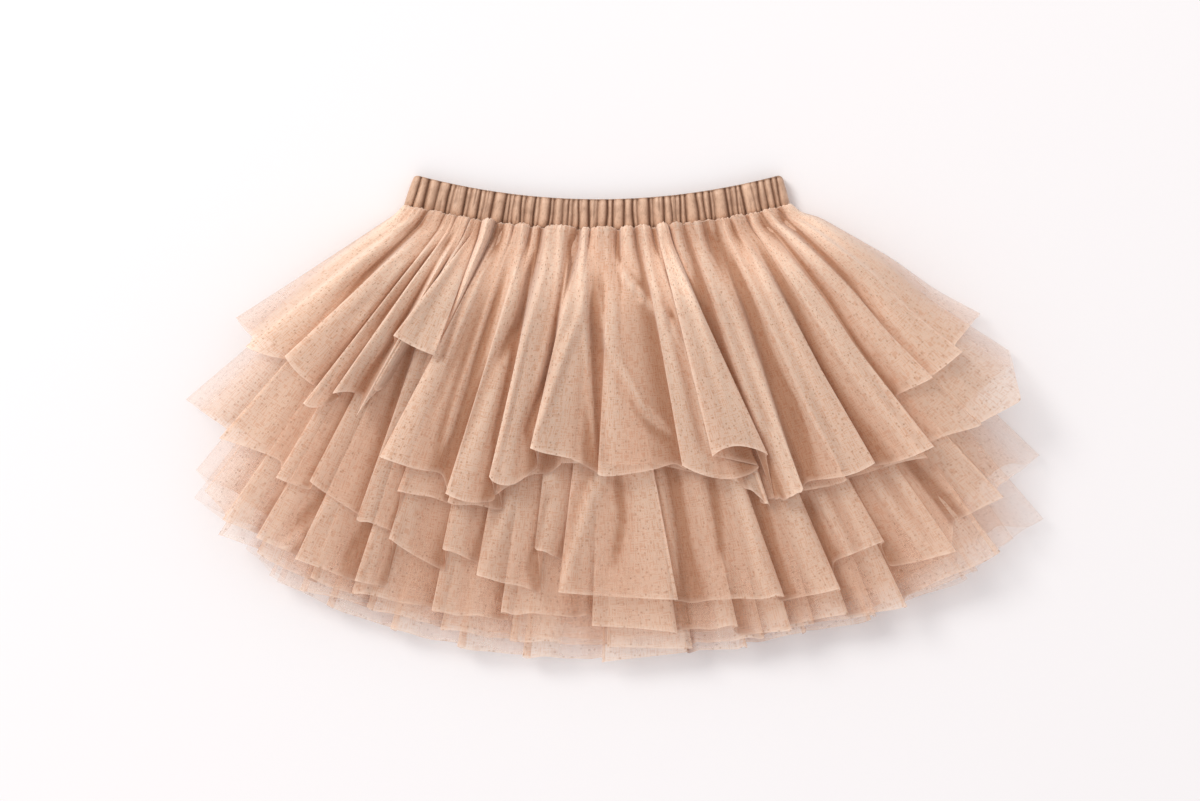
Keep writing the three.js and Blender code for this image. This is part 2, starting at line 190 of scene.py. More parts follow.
# One row for each ruffle, outermost first: heights above the table, fold heights, where it starts to
# drop, how fast it rises from the seam and from its side edges, its cut size in metres, and its seed.
RUFFLE_COLUMNS = (
    "name", "front_body", "front_hem", "back_body", "back_hem", "side_body", "side_hem",
    "fold_body", "fold_hem", "far_row", "rise", "side_spread", "cut_hem", "cut_waist", "cut_length",
    "seed", "density",
)
RUFFLES = (
    ("tier_1_over", 39.4, 38.6, 0.5, 0.5, 5, 6, 6, 7, 0.45, 52, 0.3, 1.59, 0.8, 0.15, 11, 1.25),
    ("tier_1_under", 33.6, 33, 2.6, 2.6, 7, 6, 3.6, 3.6, 0.45, 58, 0.16, 1.3, 0.75, 0.172, 12, 1.0),
    ("tier_2_over", 28.2, 26.6, 4.9, 0.5, 9, 6, 3.6, 7.5, 0.76, 61, 0.16, 1.42, 0.75, 0.217, 13, 1.15),
    ("tier_2_under", 23.2, 19.6, 7.2, 2.8, 11, 8, 3, 6, 0.72, 62, 0.16, 1.24, 0.75, 0.235, 14, 1.0),
    ("tier_3_over", 18.6, 14.4, 9.5, 5.1, 12, 8.4, 2.4, 5, 0.66, 62, 0.16, 1.09, 0.7, 0.242, 15, 0.72),
    ("tier_3_under", 14.8, 10.4, 11.8, 7.4, 13.3, 8.9, 2.2, 4, 0.66, 62, 0.02, 1.05, 0.7, 0.247, 16, 1.0),
)
WAIST_PITCH = 1.3
WAIST_INSET = 2.2
WAIST_STACK = 15.3
HALF_WALL = 0.5

# Creases drawn on the ruffle that they are named after, in millimetres of the solids' tables:
# height, half width, the side on which a hollow lies beside the ridge, how soon it fades at its
# start and end, and its line from the seam down.
LINE_COLUMNS = ("high", "wide", "hollow", "fade_in", "fade_out", "line")
LINES = {
    "tier_1_over": (
        (-4.2, 4.5, 0, 0.1, 0.3, ((-45, 100), (-53, 64), (-71, 32), (-79, 12), (-90, -20), (-100, -49))),
        (2.4, 2.4, -1, 0.02, 0.05, ((-17, 112), (-18, 64), (-29, 37), (-38, 12), (-48, -15))),
        (1.9, 2.4, 1, 0.2, 0.05, ((-17, 66), (-15, 32), (-10, -30))),
        (1.8, 2.2, -1, 0.2, 0.3, ((-10, 84), (-5, 49), (-1, 41), (7, 26), (19, 5), (28, -4), (50, -18))),
        (2.2, 1.9, 1, 0.15, 0.35, ((0, 98), (7, 83), (25, 64), (36, 54), (44, 30))),
        (1.8, 2.0, -1, 0.02, 0.05, ((27, 112), (30, 89), (38, 64), (48, 26), (58, -20))),
        (2.6, 2.2, 1, 0.02, 0.05, ((49, 114), (56, 89), (71, 41), (90, -12))),
        (1.4, 2.6, 1, 0.1, 0.4, ((38, 112), (45, 84), (58, 40), (72, -6))),
        (-2.0, 3.4, 0, 0.05, 0.3, ((-24, 108), (-26, 60), (-38, 30), (-52, -6))),
        (1.6, 2.0, -1, 0.03, 0.2, ((-38, 112), (-42, 84), (-56, 30), (-64, -4), (-70, -30))),
        (1.5, 2.2, 1, 0.03, 0.3, ((-31, 111), (-34, 70), (-44, 24), (-50, -6))),
        (-1.8, 2.8, 0, 0.05, 0.3, ((-66, 114), (-84, 62), (-104, 10), (-118, -22))),
        (1.7, 2.0, -1, 0.03, 0.2, ((-60, 113), (-74, 66), (-92, 10), (-104, -30))),
        (1.8, 2.2, 0, 0.05, 0.05, ((-84, 117), (-104, 80), (-122, 58), (-131, 48))),
        (3.2, 1.7, 1, 0.03, 0.02, ((-73, 116), (-78, 106), (-91, 72), (-106, 37))),
        (2.4, 3.4, 0, 0.15, 0.3, ((-108, 104), (-123, 91), (-139, 71), (-163, 41))),
        (1.2, 2.4, 0, 0.05, 0.3, ((-92, 116), (-112, 98), (-133, 60), (-165, 22))),
        (3.6, 4.2, 0, 0.15, 0.25, ((-98, 104), (-110, 86), (-118, 73), (-132, 54), (-148, 30))),
        (0.8, 3.0, -1, 0.05, 0.4, ((-98, 116), (-132, 84), (-168, 56), (-194, 38))),
        (-1.6, 2.4, 0, 0.1, 0.5, ((-104, 119), (-140, 92), (-180, 60))),
        (1.3, 2.0, 1, 0.05, 0.5, ((-112, 122), (-150, 104), (-190, 78))),
        (-2.3, 3.2, 0, 0.05, 0.2, ((58, 112), (68, 86), (88, 40), (107, 8), (120, -30))),
        (1.9, 2.2, 1, 0.03, 0.2, ((66, 115), (80, 84), (99, 44), (120, 0), (137, -32))),
        (-1.8, 2.6, 0, 0.08, 0.3, ((76, 116), (92, 84), (112, 48), (134, 8), (150, -20))),
        (1.6, 2.0, 1, 0.03, 0.3, ((82, 118), (102, 88), (130, 46), (160, 4))),
        (-2.2, 2.8, 0, 0.08, 0.2, ((88, 118), (112, 88), (142, 44), (168, 4), (184, -16))),
        (1.7, 2.2, 1, 0.03, 0.3, ((94, 120), (120, 92), (150, 60), (184, 28))),
        (-1.6, 2.6, 0, 0.08, 0.4, ((98, 121), (130, 94), (160, 66), (186, 42))),
        (1.4, 2.0, 1, 0.05, 0.4, ((102, 122), (136, 98), (172, 74), (206, 50))),
    ),
    "tier_2_over": (
        (3.0, 3.0, -1, 0.2, 0.05, ((-2, -20), (-14, -52), (-30, -104))),
        (-2.4, 5.0, 0, 0.2, 0.3, ((2, -24), (6, -60), (-2, -100))),
        (2.2, 3.4, 1, 0.2, 0.05, ((26, -22), (33, -60), (39, -108))),
        (-2.6, 5.0, 0, 0.2, 0.3, ((56, -22), (62, -56), (66, -100))),
        (2.4, 3.6, 1, 0.2, 0.1, ((70, -22), (82, -60), (92, -104))),
        (2.0, 3.0, -1, 0.2, 0.1, ((-56, -40), (-66, -66), (-76, -92))),
        (-2.2, 3.6, 0, 0.2, 0.2, ((-36, -36), (-44, -70), (-54, -98))),
        (2.0, 3.0, 1, 0.2, 0.1, ((120, -40), (136, -70), (148, -96))),
        (-2.4, 4.2, 0, 0.2, 0.2, ((112, -42), (122, -70), (132, -100))),
        (1.8, 3.0, 1, 0.2, 0.1, ((150, -30), (172, -60), (188, -82))),
        (-1.8, 3.6, 0, 0.2, 0.3, ((170, -20), (196, -50), (214, -70))),
        (-1.8, 3.4, 0, 0.2, 0.3, ((-130, -40), (-150, -70), (-166, -92))),
        (1.8, 3.0, -1, 0.2, 0.1, ((-150, -34), (-176, -60), (-200, -82))),
    ),
}

# Heads of the gathers over the waistband's lower edge: place along the seam, half width and height
HEAD_COLUMNS = ("x", "wide", "high")
HEADS = (
    (-111.6, 4, 0.6), (-103.8, 4.6, 1.0), (-94.2, 5, 1.6), (-85.8, 3.6, 1.2), (-78.6, 3.8, 1.6),
    (-71.4, 3.2, 1.0), (-63.6, 4.2, 2.6), (-56.4, 2.4, 0.8), (-51.6, 2.6, 1.2), (-43.8, 4.4, 2.2),
    (-35.4, 2.4, 1.2), (-21.3, 9.8, 2.6), (-6.4, 2.6, 1.8), (3.8, 7.8, 2.4), (17.8, 4.2, 2.4),
    (26.6, 4.5, 2.6), (38.4, 3.4, 3.0), (46.2, 4.4, 2.4), (53.6, 3, 1.6), (59.6, 3.2, 2.0),
    (66.2, 3.4, 1.6), (73.8, 4.6, 1.2), (82.8, 4.6, 1.8), (91.8, 4.4, 1.0), (100.8, 4.6, 1.4),
    (109.8, 4.4, 1.0),
)

# Gathers of the waistband: place along the seam, depth and half width of each valley
GATHER_COLUMNS = ("x", "deep", "wide")
GATHERS = (
    (-110.6, 0.9, 0.7), (-104.9, 1.2, 1.2), (-98.2, 0.6, 1.7), (-91.7, 1.2, 0.8), (-88.6, 0.5, 1.2),
    (-81.3, 1.2, 0.8), (-78.2, 0.5, 1.3), (-72.7, 1.2, 0.7), (-69.6, 0.5, 1.1), (-64.4, 1.1, 1.2),
    (-56.9, 1.2, 0.9), (-54.1, 0.8, 0.7), (-51.4, 0.5, 1.0), (-46.9, 1.1, 0.7), (-44.2, 0.7, 1.5),
    (-38.7, 1.2, 0.7), (-35.6, 0.4, 1.0), (-29.4, 1.2, 0.8), (-26.8, 0.8, 1.3), (-21.2, 0.7, 1.8),
    (-17.9, 0.9, 0.6), (-15.0, 0.6, 1.4), (-11.4, 1.0, 0.8), (-5.2, 1.3, 0.8), (0.3, 0.5, 1.7),
    (5.8, 1.3, 0.8), (9.5, 1.1, 0.7), (16.3, 1.1, 0.8), (21.8, 1.2, 0.8), (24.9, 0.5, 1.2),
    (31.8, 1.3, 0.9), (34.4, 0.5, 1.2), (40.8, 1.1, 0.8), (45.5, 0.8, 0.6), (48.2, 0.6, 1.0),
    (50.9, 1.2, 0.7), (54.3, 0.9, 0.9), (61.3, 1.1, 0.9), (65.5, 1.0, 0.7), (69.3, 1.1, 0.7),
    (71.6, 0.6, 1.2), (79.4, 1.2, 0.8), (82.4, 0.8, 1.5), (85.6, 0.9, 0.6), (89.3, 1.2, 0.8),
    (99.1, 1.1, 0.8), (103.4, 0.8, 0.9), (107.8, 1.1, 0.8), (111.0, 1.0, 0.7),
)


def rows_of(columns, rows):
    """The rows of a table as dictionaries, without the columns that a short row leaves out."""
    return [dict(zip(columns, row)) for row in rows]


def mix(a, b, t):
    return a + (b - a) * t


def ease(t):
    t = np.clip(t, 0, 1)
    return t * t * (3 - 2 * t)


def rounded(t):
    t = np.clip(t, 0, 1)
    return t * (2 - t)


def seam_y(x):
    return SEAM_Y + SEAM_RISE * ((x - SEAM_X) / SEAM_HALF) ** 2


BLUR_REACH = 3


def ring_blur(values, spread):
    """Values on a closed ring (last axis, or rows of points), blurred with a bell of that spread."""
    reach = int(math.ceil(BLUR_REACH * spread))
    weights = np.exp(-0.5 * (np.arange(-reach, reach + 1) / spread) ** 2)
    weights /= weights.sum()
    out = np.zeros_like(values)
    for offset, weight in zip(range(-reach, reach + 1), weights):
        out += weight * np.roll(values, offset, axis=1)
    return out


# Folds of a ruffle

UNDERCUT = 7.0
MOST_EXTENDED = 1.15
LEAST_KEPT = 0.3
SIDE_EDGE = 3.0
FOLD_SHARE = 0.8
PANEL_SHARE = 0.1
FOLD_SHAPE = (
    (0.09, 0.5), (0.03, 0.62), (0.0, 0.86), (0.04, 1.04), (0.14, 1.06), (0.3, 0.9),
    (0.48, 0.66), (0.64, 0.44), (0.8, 0.22), (0.92, 0.06), (1.0, 0.0),
)
TUCKED = 2
PANEL_SHAPE = (
    (0.06, 0.55), (0.0, 0.8), (0.06, 1.02), (0.22, 1.1), (0.42, 0.94),
    (0.6, 1.06), (0.8, 1.12), (0.94, 1.02), (1.0, 0.8), (0.94, 0.55),
)


def held_seam(x):
    limit = SEAM_HALF - SIDE_EDGE
    return max(-limit, min(limit, x))


def front_columns(folds):
    """Control columns across the front: place on the seam, place on the hem, height in the fold."""
    columns = []
    for i, fold in enumerate(folds):
        before = folds[i - 1] if i else None
        after = folds[i + 1] if i + 1 < len(folds) else None
        lead = [fold["lead_x"], fold["lead_y"]]
        dive = [fold["dive_x"], fold["dive_y"]]
        own = held_seam(fold["seam_x"])
        to_next = held_seam(after["seam_x"]) - own if after else 0
        to_last = own - held_seam(before["seam_x"]) if before else 0
        opens = fold["opens"]
        span = {
            "out": (own, own + FOLD_SHARE * to_next),
            "both": (own - PANEL_SHARE * to_last, own + PANEL_SHARE * to_next),
            "in": (own - FOLD_SHARE * to_last, own),
        }[opens]
        neighbour = after if opens == "out" else before
        if opens != "both" and neighbour:
            sign = 1 if opens == "out" else -1
            uses_dive = opens == "in" and neighbour["opens"] == "both"
            near_edge = "dive" if uses_dive else "lead"
            edge_x, edge_y = neighbour[near_edge + "_x"], neighbour[near_edge + "_y"]
            root_x = SEAM_X + held_seam(neighbour["seam_x"])
            root_y = seam_y(root_x)
            level = min(MOST_EXTENDED, (root_y - dive[1]) / (root_y - edge_y))
            reach = mix(root_x, edge_x, level) + sign * fold.get("tuck", UNDERCUT)
            if (dive[0] - reach) * sign > 0:
                kept = min(1.0, max(LEAST_KEPT, (reach - lead[0]) / (dive[0] - lead[0])))
                dive = [mix(lead[0], dive[0], kept), mix(lead[1], dive[1], kept)]
        shape = PANEL_SHAPE if opens == "both" else FOLD_SHAPE
        root = (SEAM_X + own, seam_y(SEAM_X + own))
        middle = ((lead[0] + dive[0]) / 2 - root[0], (lead[1] + dive[1]) / 2 - root[1])
        reach = fold.get("bulge", 0) / math.hypot(*middle)
        points = []
        for along, high in shape:
            out = reach * 4 * along * (1 - along)
            x = mix(lead[0], dive[0], along) + middle[0] * out
            y = mix(lead[1], dive[1], along) + middle[1] * out
            points.append((x, y, high * fold.get("lift", 1)))
        if before is None or after is None:
            points = points[TUCKED:]
        if opens == "in":
            points.reverse()
        for n, (x, y, high) in enumerate(points):
            seam = mix(span[0], span[1], n / (len(points) - 1))
            columns.append((seam, x, y, high))
    return columns


BACK_COUNT = 44
BACK_HALF = 107.0
BACK_SHORTER = 0.955
BACK_SPREAD = 0.1
BACK_BLEND = 14
NEAR_SIDE = 3
SIDE_CLIMB = 3.4
SIDE_FOLD_SPREAD = 0.16
RIGHT_BOW = 4.0
RIGHT_BOW_FROM = 60.0
RIGHT_BOW_SPREAD = 50.0
RIGHT_BOW_FULL = 22.0
RIGHT_BOW_FADES = 60.0
RIGHT_BOW_WAY = (0.515, 0.857)


def ring_columns(folds):
    """All control columns of a ruffle, round the tube: left edge, front, right edge, back."""
    front = front_columns(folds)
    tip_l = (-SEAM_HALF, front[0][1], front[0][2], 0.0)
    tip_r = (SEAM_HALF, front[-1][1], front[-1][2], 0.0)
    seams = np.array([c[0] for c in front])
    hems = np.array([c[1:3] for c in front], dtype=float)
    back = []
    for i in range(BACK_COUNT):
        seam = mix(BACK_HALF, -BACK_HALF, i / (BACK_COUNT - 1))
        weight = np.exp(-(((seams - seam) / BACK_BLEND) ** 2))
        weight /= weight.sum()
        x, y = weight @ hems
        root_x = SEAM_X + seam
        root_y = seam_y(root_x)
        back.append((seam, mix(root_x, x, BACK_SHORTER), mix(root_y, y, BACK_SHORTER), float(i % 2)))
    ring = [(*tip_l, "side")] + [(*c, "front") for c in front] + [(*tip_r, "side")]
    ring += [(seams[-1], *front[-1 - NEAR_SIDE][1:3], 0.0, "back")]
    ring += [(*c, "back") for c in back]
    ring += [(seams[0], *front[NEAR_SIDE][1:3], 0.0, "back")]
    return ring


def ruffle_grid(ruffle, depth, sizes):
    """Points of a ruffle's cloth in millimetres, rows down and columns round the tube, with its creases."""
    folds = rows_of(FOLD_COLUMNS, FOLDS[ruffle["name"]])
    ring = ring_columns(folds)
    half = SEAM_HALF - depth * WAIST_INSET
    seam = np.array([c[0] for c in ring]) / SEAM_HALF * half
    hem = np.array([c[1:3] for c in ring], dtype=float)
    high = np.array([c[3] for c in ring])
    panel = np.array([c[4] for c in ring])
    root = np.stack([SEAM_X + seam, seam_y(SEAM_X + seam)], axis=1)
    length = np.linalg.norm(hem - root, axis=1)
    last = NEAR_ROWS[-1]
    rest = length - last
    along = [np.full(len(ring), s) for s in NEAR_ROWS]
    shares = [np.zeros(len(ring)) for _ in NEAR_ROWS]
    body = rest - EDGE_ROWS[0]
    for share in FAR_SHARES:
        along.append(last + body * share)
    for gap in EDGE_ROWS:
        along.append(length - gap)
    along = np.array(along)
    share = along / length
    to_hem = np.clip(((along - last) / rest - ruffle["far_row"]) / (1 - ruffle["far_row"]), 0, 1)
    xy = root[None] + (hem - root)[None] * share[..., None]
    bow = ease(along / RIGHT_BOW_FULL) * (1 - ease((along - RIGHT_BOW_FADES) / RIGHT_BOW_SPREAD))
    bow = RIGHT_BOW * bow * ease((seam - RIGHT_BOW_FROM) / RIGHT_BOW_SPREAD)
    xy += bow[..., None] * RIGHT_BOW_WAY
    waist_front = WAIST_STACK - HALF_WALL - depth * WAIST_PITCH
    waist_back = HALF_WALL + depth * WAIST_PITCH
    rise = ease(along / ruffle["rise"])

    def level(waist, body_height, hem_height):
        return mix(waist, mix(body_height, hem_height, to_hem), rise)

    side = level(WAIST_STACK / 2, ruffle["side_body"], ruffle["side_hem"])
    n_front = int((panel == "front").sum())
    tip_l = xy[:, 0]
    tip_r = xy[:, n_front + 1]
    left = xy[:, :, 0] < SEAM_X
    tip = np.where(left[..., None], tip_l[:, None], tip_r[:, None])
    inward = np.linalg.norm(xy - tip, axis=2)
    spread = np.where(panel == "back", min(BACK_SPREAD, ruffle["side_spread"]), ruffle["side_spread"])
    up = rounded(inward / (SIDE_CLIMB + spread[None] * along))
    open_share = ease(inward / (SIDE_CLIMB + SIDE_FOLD_SPREAD * along))
    fold_size = mix(ruffle["fold_body"], ruffle["fold_hem"], to_hem)
    fold = open_share * rise * fold_size * high[None] * sizes.fold_height
    z_front = mix(side, level(waist_front, ruffle["front_body"], ruffle["front_hem"]), up) + fold
    z_back = mix(side, level(waist_back, ruffle["back_body"], ruffle["back_hem"]), up)
    z = np.where(panel == "front", z_front, np.where(panel == "back", z_back, side))
    points = np.concatenate([xy, z[..., None]], axis=2)

    # Finer columns, closer where the hem is longer
    closed = np.concatenate([points, points[:, :1]], axis=1)
    hem_step = np.linalg.norm(np.diff(closed[-1], axis=0), axis=1)
    counts = np.maximum(2, np.round(hem_step / sizes.column_step)).astype(int)
    places = np.concatenate([i + np.arange(n) / n for i, n in enumerate(counts)])
    low = places.astype(int)
    part = (places - low)[None, :, None]
    fine = closed[:, low] * (1 - part) + closed[:, low + 1] * part
    fine = ring_blur(fine, sizes.fold_softness)

    def finer(values):
        ring_values = np.append(values, values[0])
        return mix(ring_values[low], ring_values[low + 1], places - low)

    seam_fine = finer(seam)
    front_fine = finer((panel == "front").astype(float))
    back_fine = finer((panel == "back").astype(float))
    closed_along = np.concatenate([along, along[:, :1]], axis=1)
    s = closed_along[:, low] * (1 - part[..., 0]) + closed_along[:, low + 1] * part[..., 0]
    add_creases(fine, seam_fine, s, front_fine, back_fine, ruffle, depth, sizes)
    return fine, s, seam_fine


HOLLOW_SHARE = 0.6
HOLLOW_PLACE = 2.4
HOLLOW_WIDER = 1.3


def line_relief(xy, row):
    """Height that one drawn crease adds at each point."""
    line = np.array(row["line"], dtype=float)
    steps = np.diff(line, axis=0)
    lengths = np.linalg.norm(steps, axis=1)
    starts = np.concatenate([[0], np.cumsum(lengths)])
    nearest = np.full(xy.shape[:2], np.inf)
    signed = np.zeros(xy.shape[:2])
    place = np.zeros(xy.shape[:2])
    for n, step in enumerate(steps):
        offset = xy - line[n]
        t = np.clip((offset @ step) / lengths[n] ** 2, 0, 1)
        away = offset - t[..., None] * step
        distance = np.linalg.norm(away, axis=2)
        closer = distance < nearest
        side = np.sign(step[0] * offset[..., 1] - step[1] * offset[..., 0])
        nearest = np.where(closer, distance, nearest)
        signed = np.where(closer, distance * side, signed)
        place = np.where(closer, (starts[n] + t * lengths[n]) / starts[-1], place)
    wide = row["wide"]
    shape = np.exp(-((nearest / wide) ** 2))
    if row["hollow"]:
        beside = (signed * row["hollow"] - HOLLOW_PLACE * wide) / (HOLLOW_WIDER * wide)
        shape -= HOLLOW_SHARE * np.exp(-(beside**2))
    fade = ease(place / row["fade_in"]) * ease((1 - place) / row["fade_out"])
    return row["high"] * shape * fade


HEAD_RISE = (0.0, 1.0, 1.0, 0.8, 0.5, 0.25, 0.08)
HEAD_PUFF = (0.0, 0.6, 1.0, 0.95, 0.75, 0.5, 0.25, 0.08)
HEAD_LIFT = (0.0, -2.0, 0.1, 0.9, 1.3, 1.1, 0.8, 0.5, 0.2)
SEWN_HEIGHT = 9.4
HEAD_FOLD = 1.7
HEAD_MIDDLE = 1.3
HEAD_REACH = 44.0
HEAD_STARTS = 4.0
HEAD_BETWEEN = -0.3
HEAD_THICK = 0.35
HEAD_TUCK = 0.35
HEAD_RIPPLES = ((0.25, 2.3, 0.0), (0.2, 3.9, 1.0))


def head_puffs(seam):
    """How high the heads of the gathers stand, along the seam."""
    height = np.full(seam.shape, HEAD_BETWEEN)
    for head in rows_of(HEAD_COLUMNS, HEADS):
        puff = np.sqrt(np.clip(1 - ((seam - head["x"]) / head["wide"]) ** 2, 0, 1))
        height = np.maximum(height, head["high"] * puff)
    return height


def add_heads(points, seam, s, front):
    """Small heads of gathered net that stand over the waistband's lower edge."""
    height = head_puffs(seam)
    for share, turns, phase in HEAD_RIPPLES:
        height = height + share * np.sin(seam * turns + phase)
    for row, lift in enumerate(HEAD_LIFT):
        rise = HEAD_RISE[row] if row < len(HEAD_RISE) else 0.0
        puff = HEAD_PUFF[row] if row < len(HEAD_PUFF) else 0.0
        points[row, :, 1] += (rise * (s[row] + BAND_GAP) + puff * height) * front
        points[row, :, 2] += (lift + HEAD_THICK * puff * height) * front
    points[0, :, 1] += HEAD_TUCK * front
    points[0, :, 2] = mix(points[0, :, 2], SEWN_HEIGHT, front)


# Soft waves below the seam (length, share, phase), the seeded creases' ranges in millimetres, the
# hem's ripple (length, height) and the shallow gathers of the back
GATHER_WAVES = ((6.4, 0.3, 0.3), (9.3, 0.5, 2.9), (13.7, 0.6, 1.1), (3.1, 0.16, 0.8))
GATHER_SHARE = 0.5
GATHER_WANDER = 0.9
WANDER_LENGTH = 17.0
WANDER_PHASE = 3
GATHER_STARTS = 5.0
GATHER_REACH = 38.0
CREASE_COUNT = 46
CREASE_HALF = 112
CREASE_WIDE = (0.7, 1.7)
CREASE_HIGH = (0.4, 1.0)
CREASE_FULL = (24, 110)
CREASE_GONE = (50, 130)
CREASE_LEFT = 0.3
HEM_WAVES = ((9.5, 0.6), (5.5, 0.35))
HEM_SWAY = 0.9
MOST_PHASE = 6
BACK_GATHER = 0.35
BACK_GATHER_LENGTH = 9.0
BACK_GATHER_STARTS = 40.0
TABLE_GAP = 0.25
PLY_GAP = 0.1


def add_creases(points, seam, s, front, back, ruffle, depth, sizes):
    """Gathers that run out from the seam, drawn and seeded creases, and a soft wave along the hem."""
    rng = np.random.default_rng(ruffle["seed"])
    top = depth == 0
    gather = np.zeros_like(seam)
    for wave, share, phase in GATHER_WAVES:
        wander = GATHER_WANDER * np.sin(seam / WANDER_LENGTH + phase * WANDER_PHASE)
        gather += share * np.sin(2 * np.pi * seam / wave + phase + wander)
    fade = ease(s / GATHER_STARTS) * np.exp(-((s / GATHER_REACH) ** 2))
    points[..., 2] += sizes.gather_height * GATHER_SHARE * fade * gather * front
    if top:
        puffs = HEAD_FOLD * (head_puffs(seam) - HEAD_MIDDLE) * ease(s / HEAD_STARTS)
        puffs = puffs * np.exp(-((s / HEAD_REACH) ** 2))
        points[..., 2] += sizes.gather_height * puffs * front
    lines = rows_of(LINE_COLUMNS, LINES.get(ruffle["name"], ()))
    drawn = [line_relief(points[..., :2], row) for row in lines]
    for relief in drawn:
        points[..., 2] += sizes.crease_height * relief * front
    for _ in range(CREASE_COUNT):
        place = rng.uniform(-CREASE_HALF, CREASE_HALF)
        wide = rng.uniform(*CREASE_WIDE)
        high = rng.choice((-1, 1)) * rng.uniform(*CREASE_HIGH)
        full = rng.uniform(*CREASE_FULL)
        gone = full + rng.uniform(*CREASE_GONE)
        across = np.exp(-(((seam - place) / wide) ** 2))
        fall = 1 - ease((s - full) / (gone - full))
        kept = mix(CREASE_LEFT, 1.0, fall)
        points[..., 2] += sizes.crease_height * high * across * ease(s / full) * kept * front
    reach = s / s[-1]
    for wave, high in HEM_WAVES:
        ripple = np.sin(2 * np.pi * seam / wave + rng.uniform(0, MOST_PHASE))
        points[..., 2] += high * ripple * reach**3 * front
        points[..., 1] += HEM_SWAY * high * ripple * reach**4
    wave = 1 + np.sin(2 * np.pi * seam / BACK_GATHER_LENGTH + ruffle["seed"])
    points[..., 2] += BACK_GATHER * wave * ease(s / BACK_GATHER_STARTS) * back
    if top:
        add_heads(points, seam, s, front)
    points[..., 2] = np.maximum(points[..., 2], TABLE_GAP + PLY_GAP * depth)


# Blur in columns, height in millimetres that counts as full, and share of each scale of relief, the mask of
# the net's painted highlight on ridges and painted shade in hollows
RELIEF_SCALES = ((8.0, 1.9, 0.7), (26.0, 2.9, 0.65))
SMALLEST = 1e-6
SMALLEST_NORMAL = 1e-9
PLY_BLUR = 2.0
MOST_PLIES = 5
PLY_POWER = 0.8
LEAST_UPRIGHT = 0.35
SLANT_POWER = 0.6
# Reach below the seam and share of the painted shade near the waist, darker towards the ends
WAIST_SHADE_REACH = 26.0
WAIST_SHADE = (0.15, 0.6)
# Where the cloth turns steep at the folds' edges, for their painted highlight
TURN_FROM = 0.75
TURN_SPAN = 0.5
TURN_BLUR = 0.7
EDGE_AT_SIDE = 0.3
HOLLOW_DENSER = 0.3
RIDGE_DENSER = 0.18
HIDDEN_TO = (0, 0, 104, 104, 168, 168)
HIDDEN_FADE = 22.0
SIDE_SHEER_WIDTH = 43.0
SIDE_RELIEF_FROM = 6.0
SIDE_RELIEF_SPREAD = 0.2
SIDE_SHEER_WIDER = 11.0
SIDE_SHEER_FROM = 110.0
EDGE_SHARES = ((0.55,), (1.0,), (1.0,))
# Painted light on the lower ruffles, added to their relief where the upper tiers' shadow falls
LOWER_PAINTED_LIGHT = (0.0, 0.0, 0.0, 0.15, 0.35, 0.4)
HEM_SHEER = 0.64
HEM_SHEER_WIDTH = 60.0


def cloth_values(points, seam, s, ruffle, depth, sizes):
    """Net's density, the relief that sets its painted highlight on ridges and painted shade in hollows, its
    turned and cut edges at each point, and its place in the flat cloth.
    """
    closed = np.concatenate([points, points[:, :1]], axis=1)
    across = np.linalg.norm(np.diff(closed, axis=1), axis=2) + SMALLEST
    flat_width = across.max(axis=0)
    ratio = ring_blur(flat_width[None] / across, PLY_BLUR)
    du = np.roll(points, -1, axis=1) - np.roll(points, 1, axis=1)
    dv = np.gradient(points, axis=0)
    normal = np.cross(dv, du)
    normal /= np.linalg.norm(normal, axis=2, keepdims=True) + SMALLEST_NORMAL
    upright = np.abs(normal[..., 2])
    slant = np.maximum(upright, LEAST_UPRIGHT) ** SLANT_POWER
    plies = np.clip(ratio, 1, MOST_PLIES) ** PLY_POWER / slant
    sheer = 1 - (1 - sizes.single_ply) ** (plies * ruffle["density"])
    tips = points[:, [0, int(seam.argmax())]]
    inward = np.linalg.norm(points[:, :, None] - tips[:, None], axis=3).min(axis=2)
    veil = ease(inward / (SIDE_SHEER_WIDTH + SIDE_SHEER_WIDER * depth))
    sheer *= mix(sizes.side_sheer, 1.0, veil) ** ease(s / SIDE_SHEER_FROM)
    if depth > 1:
        sheer *= mix(HEM_SHEER, 1.0, ease((s[-1] - s) / HEM_SHEER_WIDTH))
    if HIDDEN_TO[depth]:
        sheer = mix(1.0, sheer, ease((s - HIDDEN_TO[depth] + HIDDEN_FADE) / HIDDEN_FADE))
    # The cloth's height against its blurred self sets the painted highlight on ridges and the painted shade
    # in hollows
    z = points[..., 2]
    relief = 0.0
    for spread, height, share in RELIEF_SCALES:
        relief = relief + share * (z - ring_blur(z, spread)) / height
    # Painted shade near the waist, most towards the band's ends
    waist_shade = np.exp(-((s / WAIST_SHADE_REACH) ** 2)) * mix(*WAIST_SHADE, ease(np.abs(seam) / SEAM_HALF))
    at_side = ease(inward / (SIDE_RELIEF_FROM + SIDE_RELIEF_SPREAD * s))
    # Painted light on the lower ruffles, painted shade near the waist
    relief = np.clip(relief + LOWER_PAINTED_LIGHT[depth] - waist_shade, -1, 1) * at_side
    sheer = sheer + HOLLOW_DENSER * np.maximum(-relief, 0) + RIDGE_DENSER * np.maximum(relief, 0)
    sheer = np.clip(sheer, 0, 1)
    # Steep, turned cloth along the folds' edges, for their painted highlight
    turn = ring_blur(ease((TURN_FROM - upright) / TURN_SPAN), TURN_BLUR)
    edge = np.zeros_like(s)
    edge[-len(EDGE_SHARES):] = EDGE_SHARES
    edge *= mix(EDGE_AT_SIDE, 1.0, veil)
    u = np.concatenate([[0], np.cumsum(flat_width)])
    values = {"sheer": sheer, "relief": relief, "turn": turn, "edge": edge}
    return values, u, s


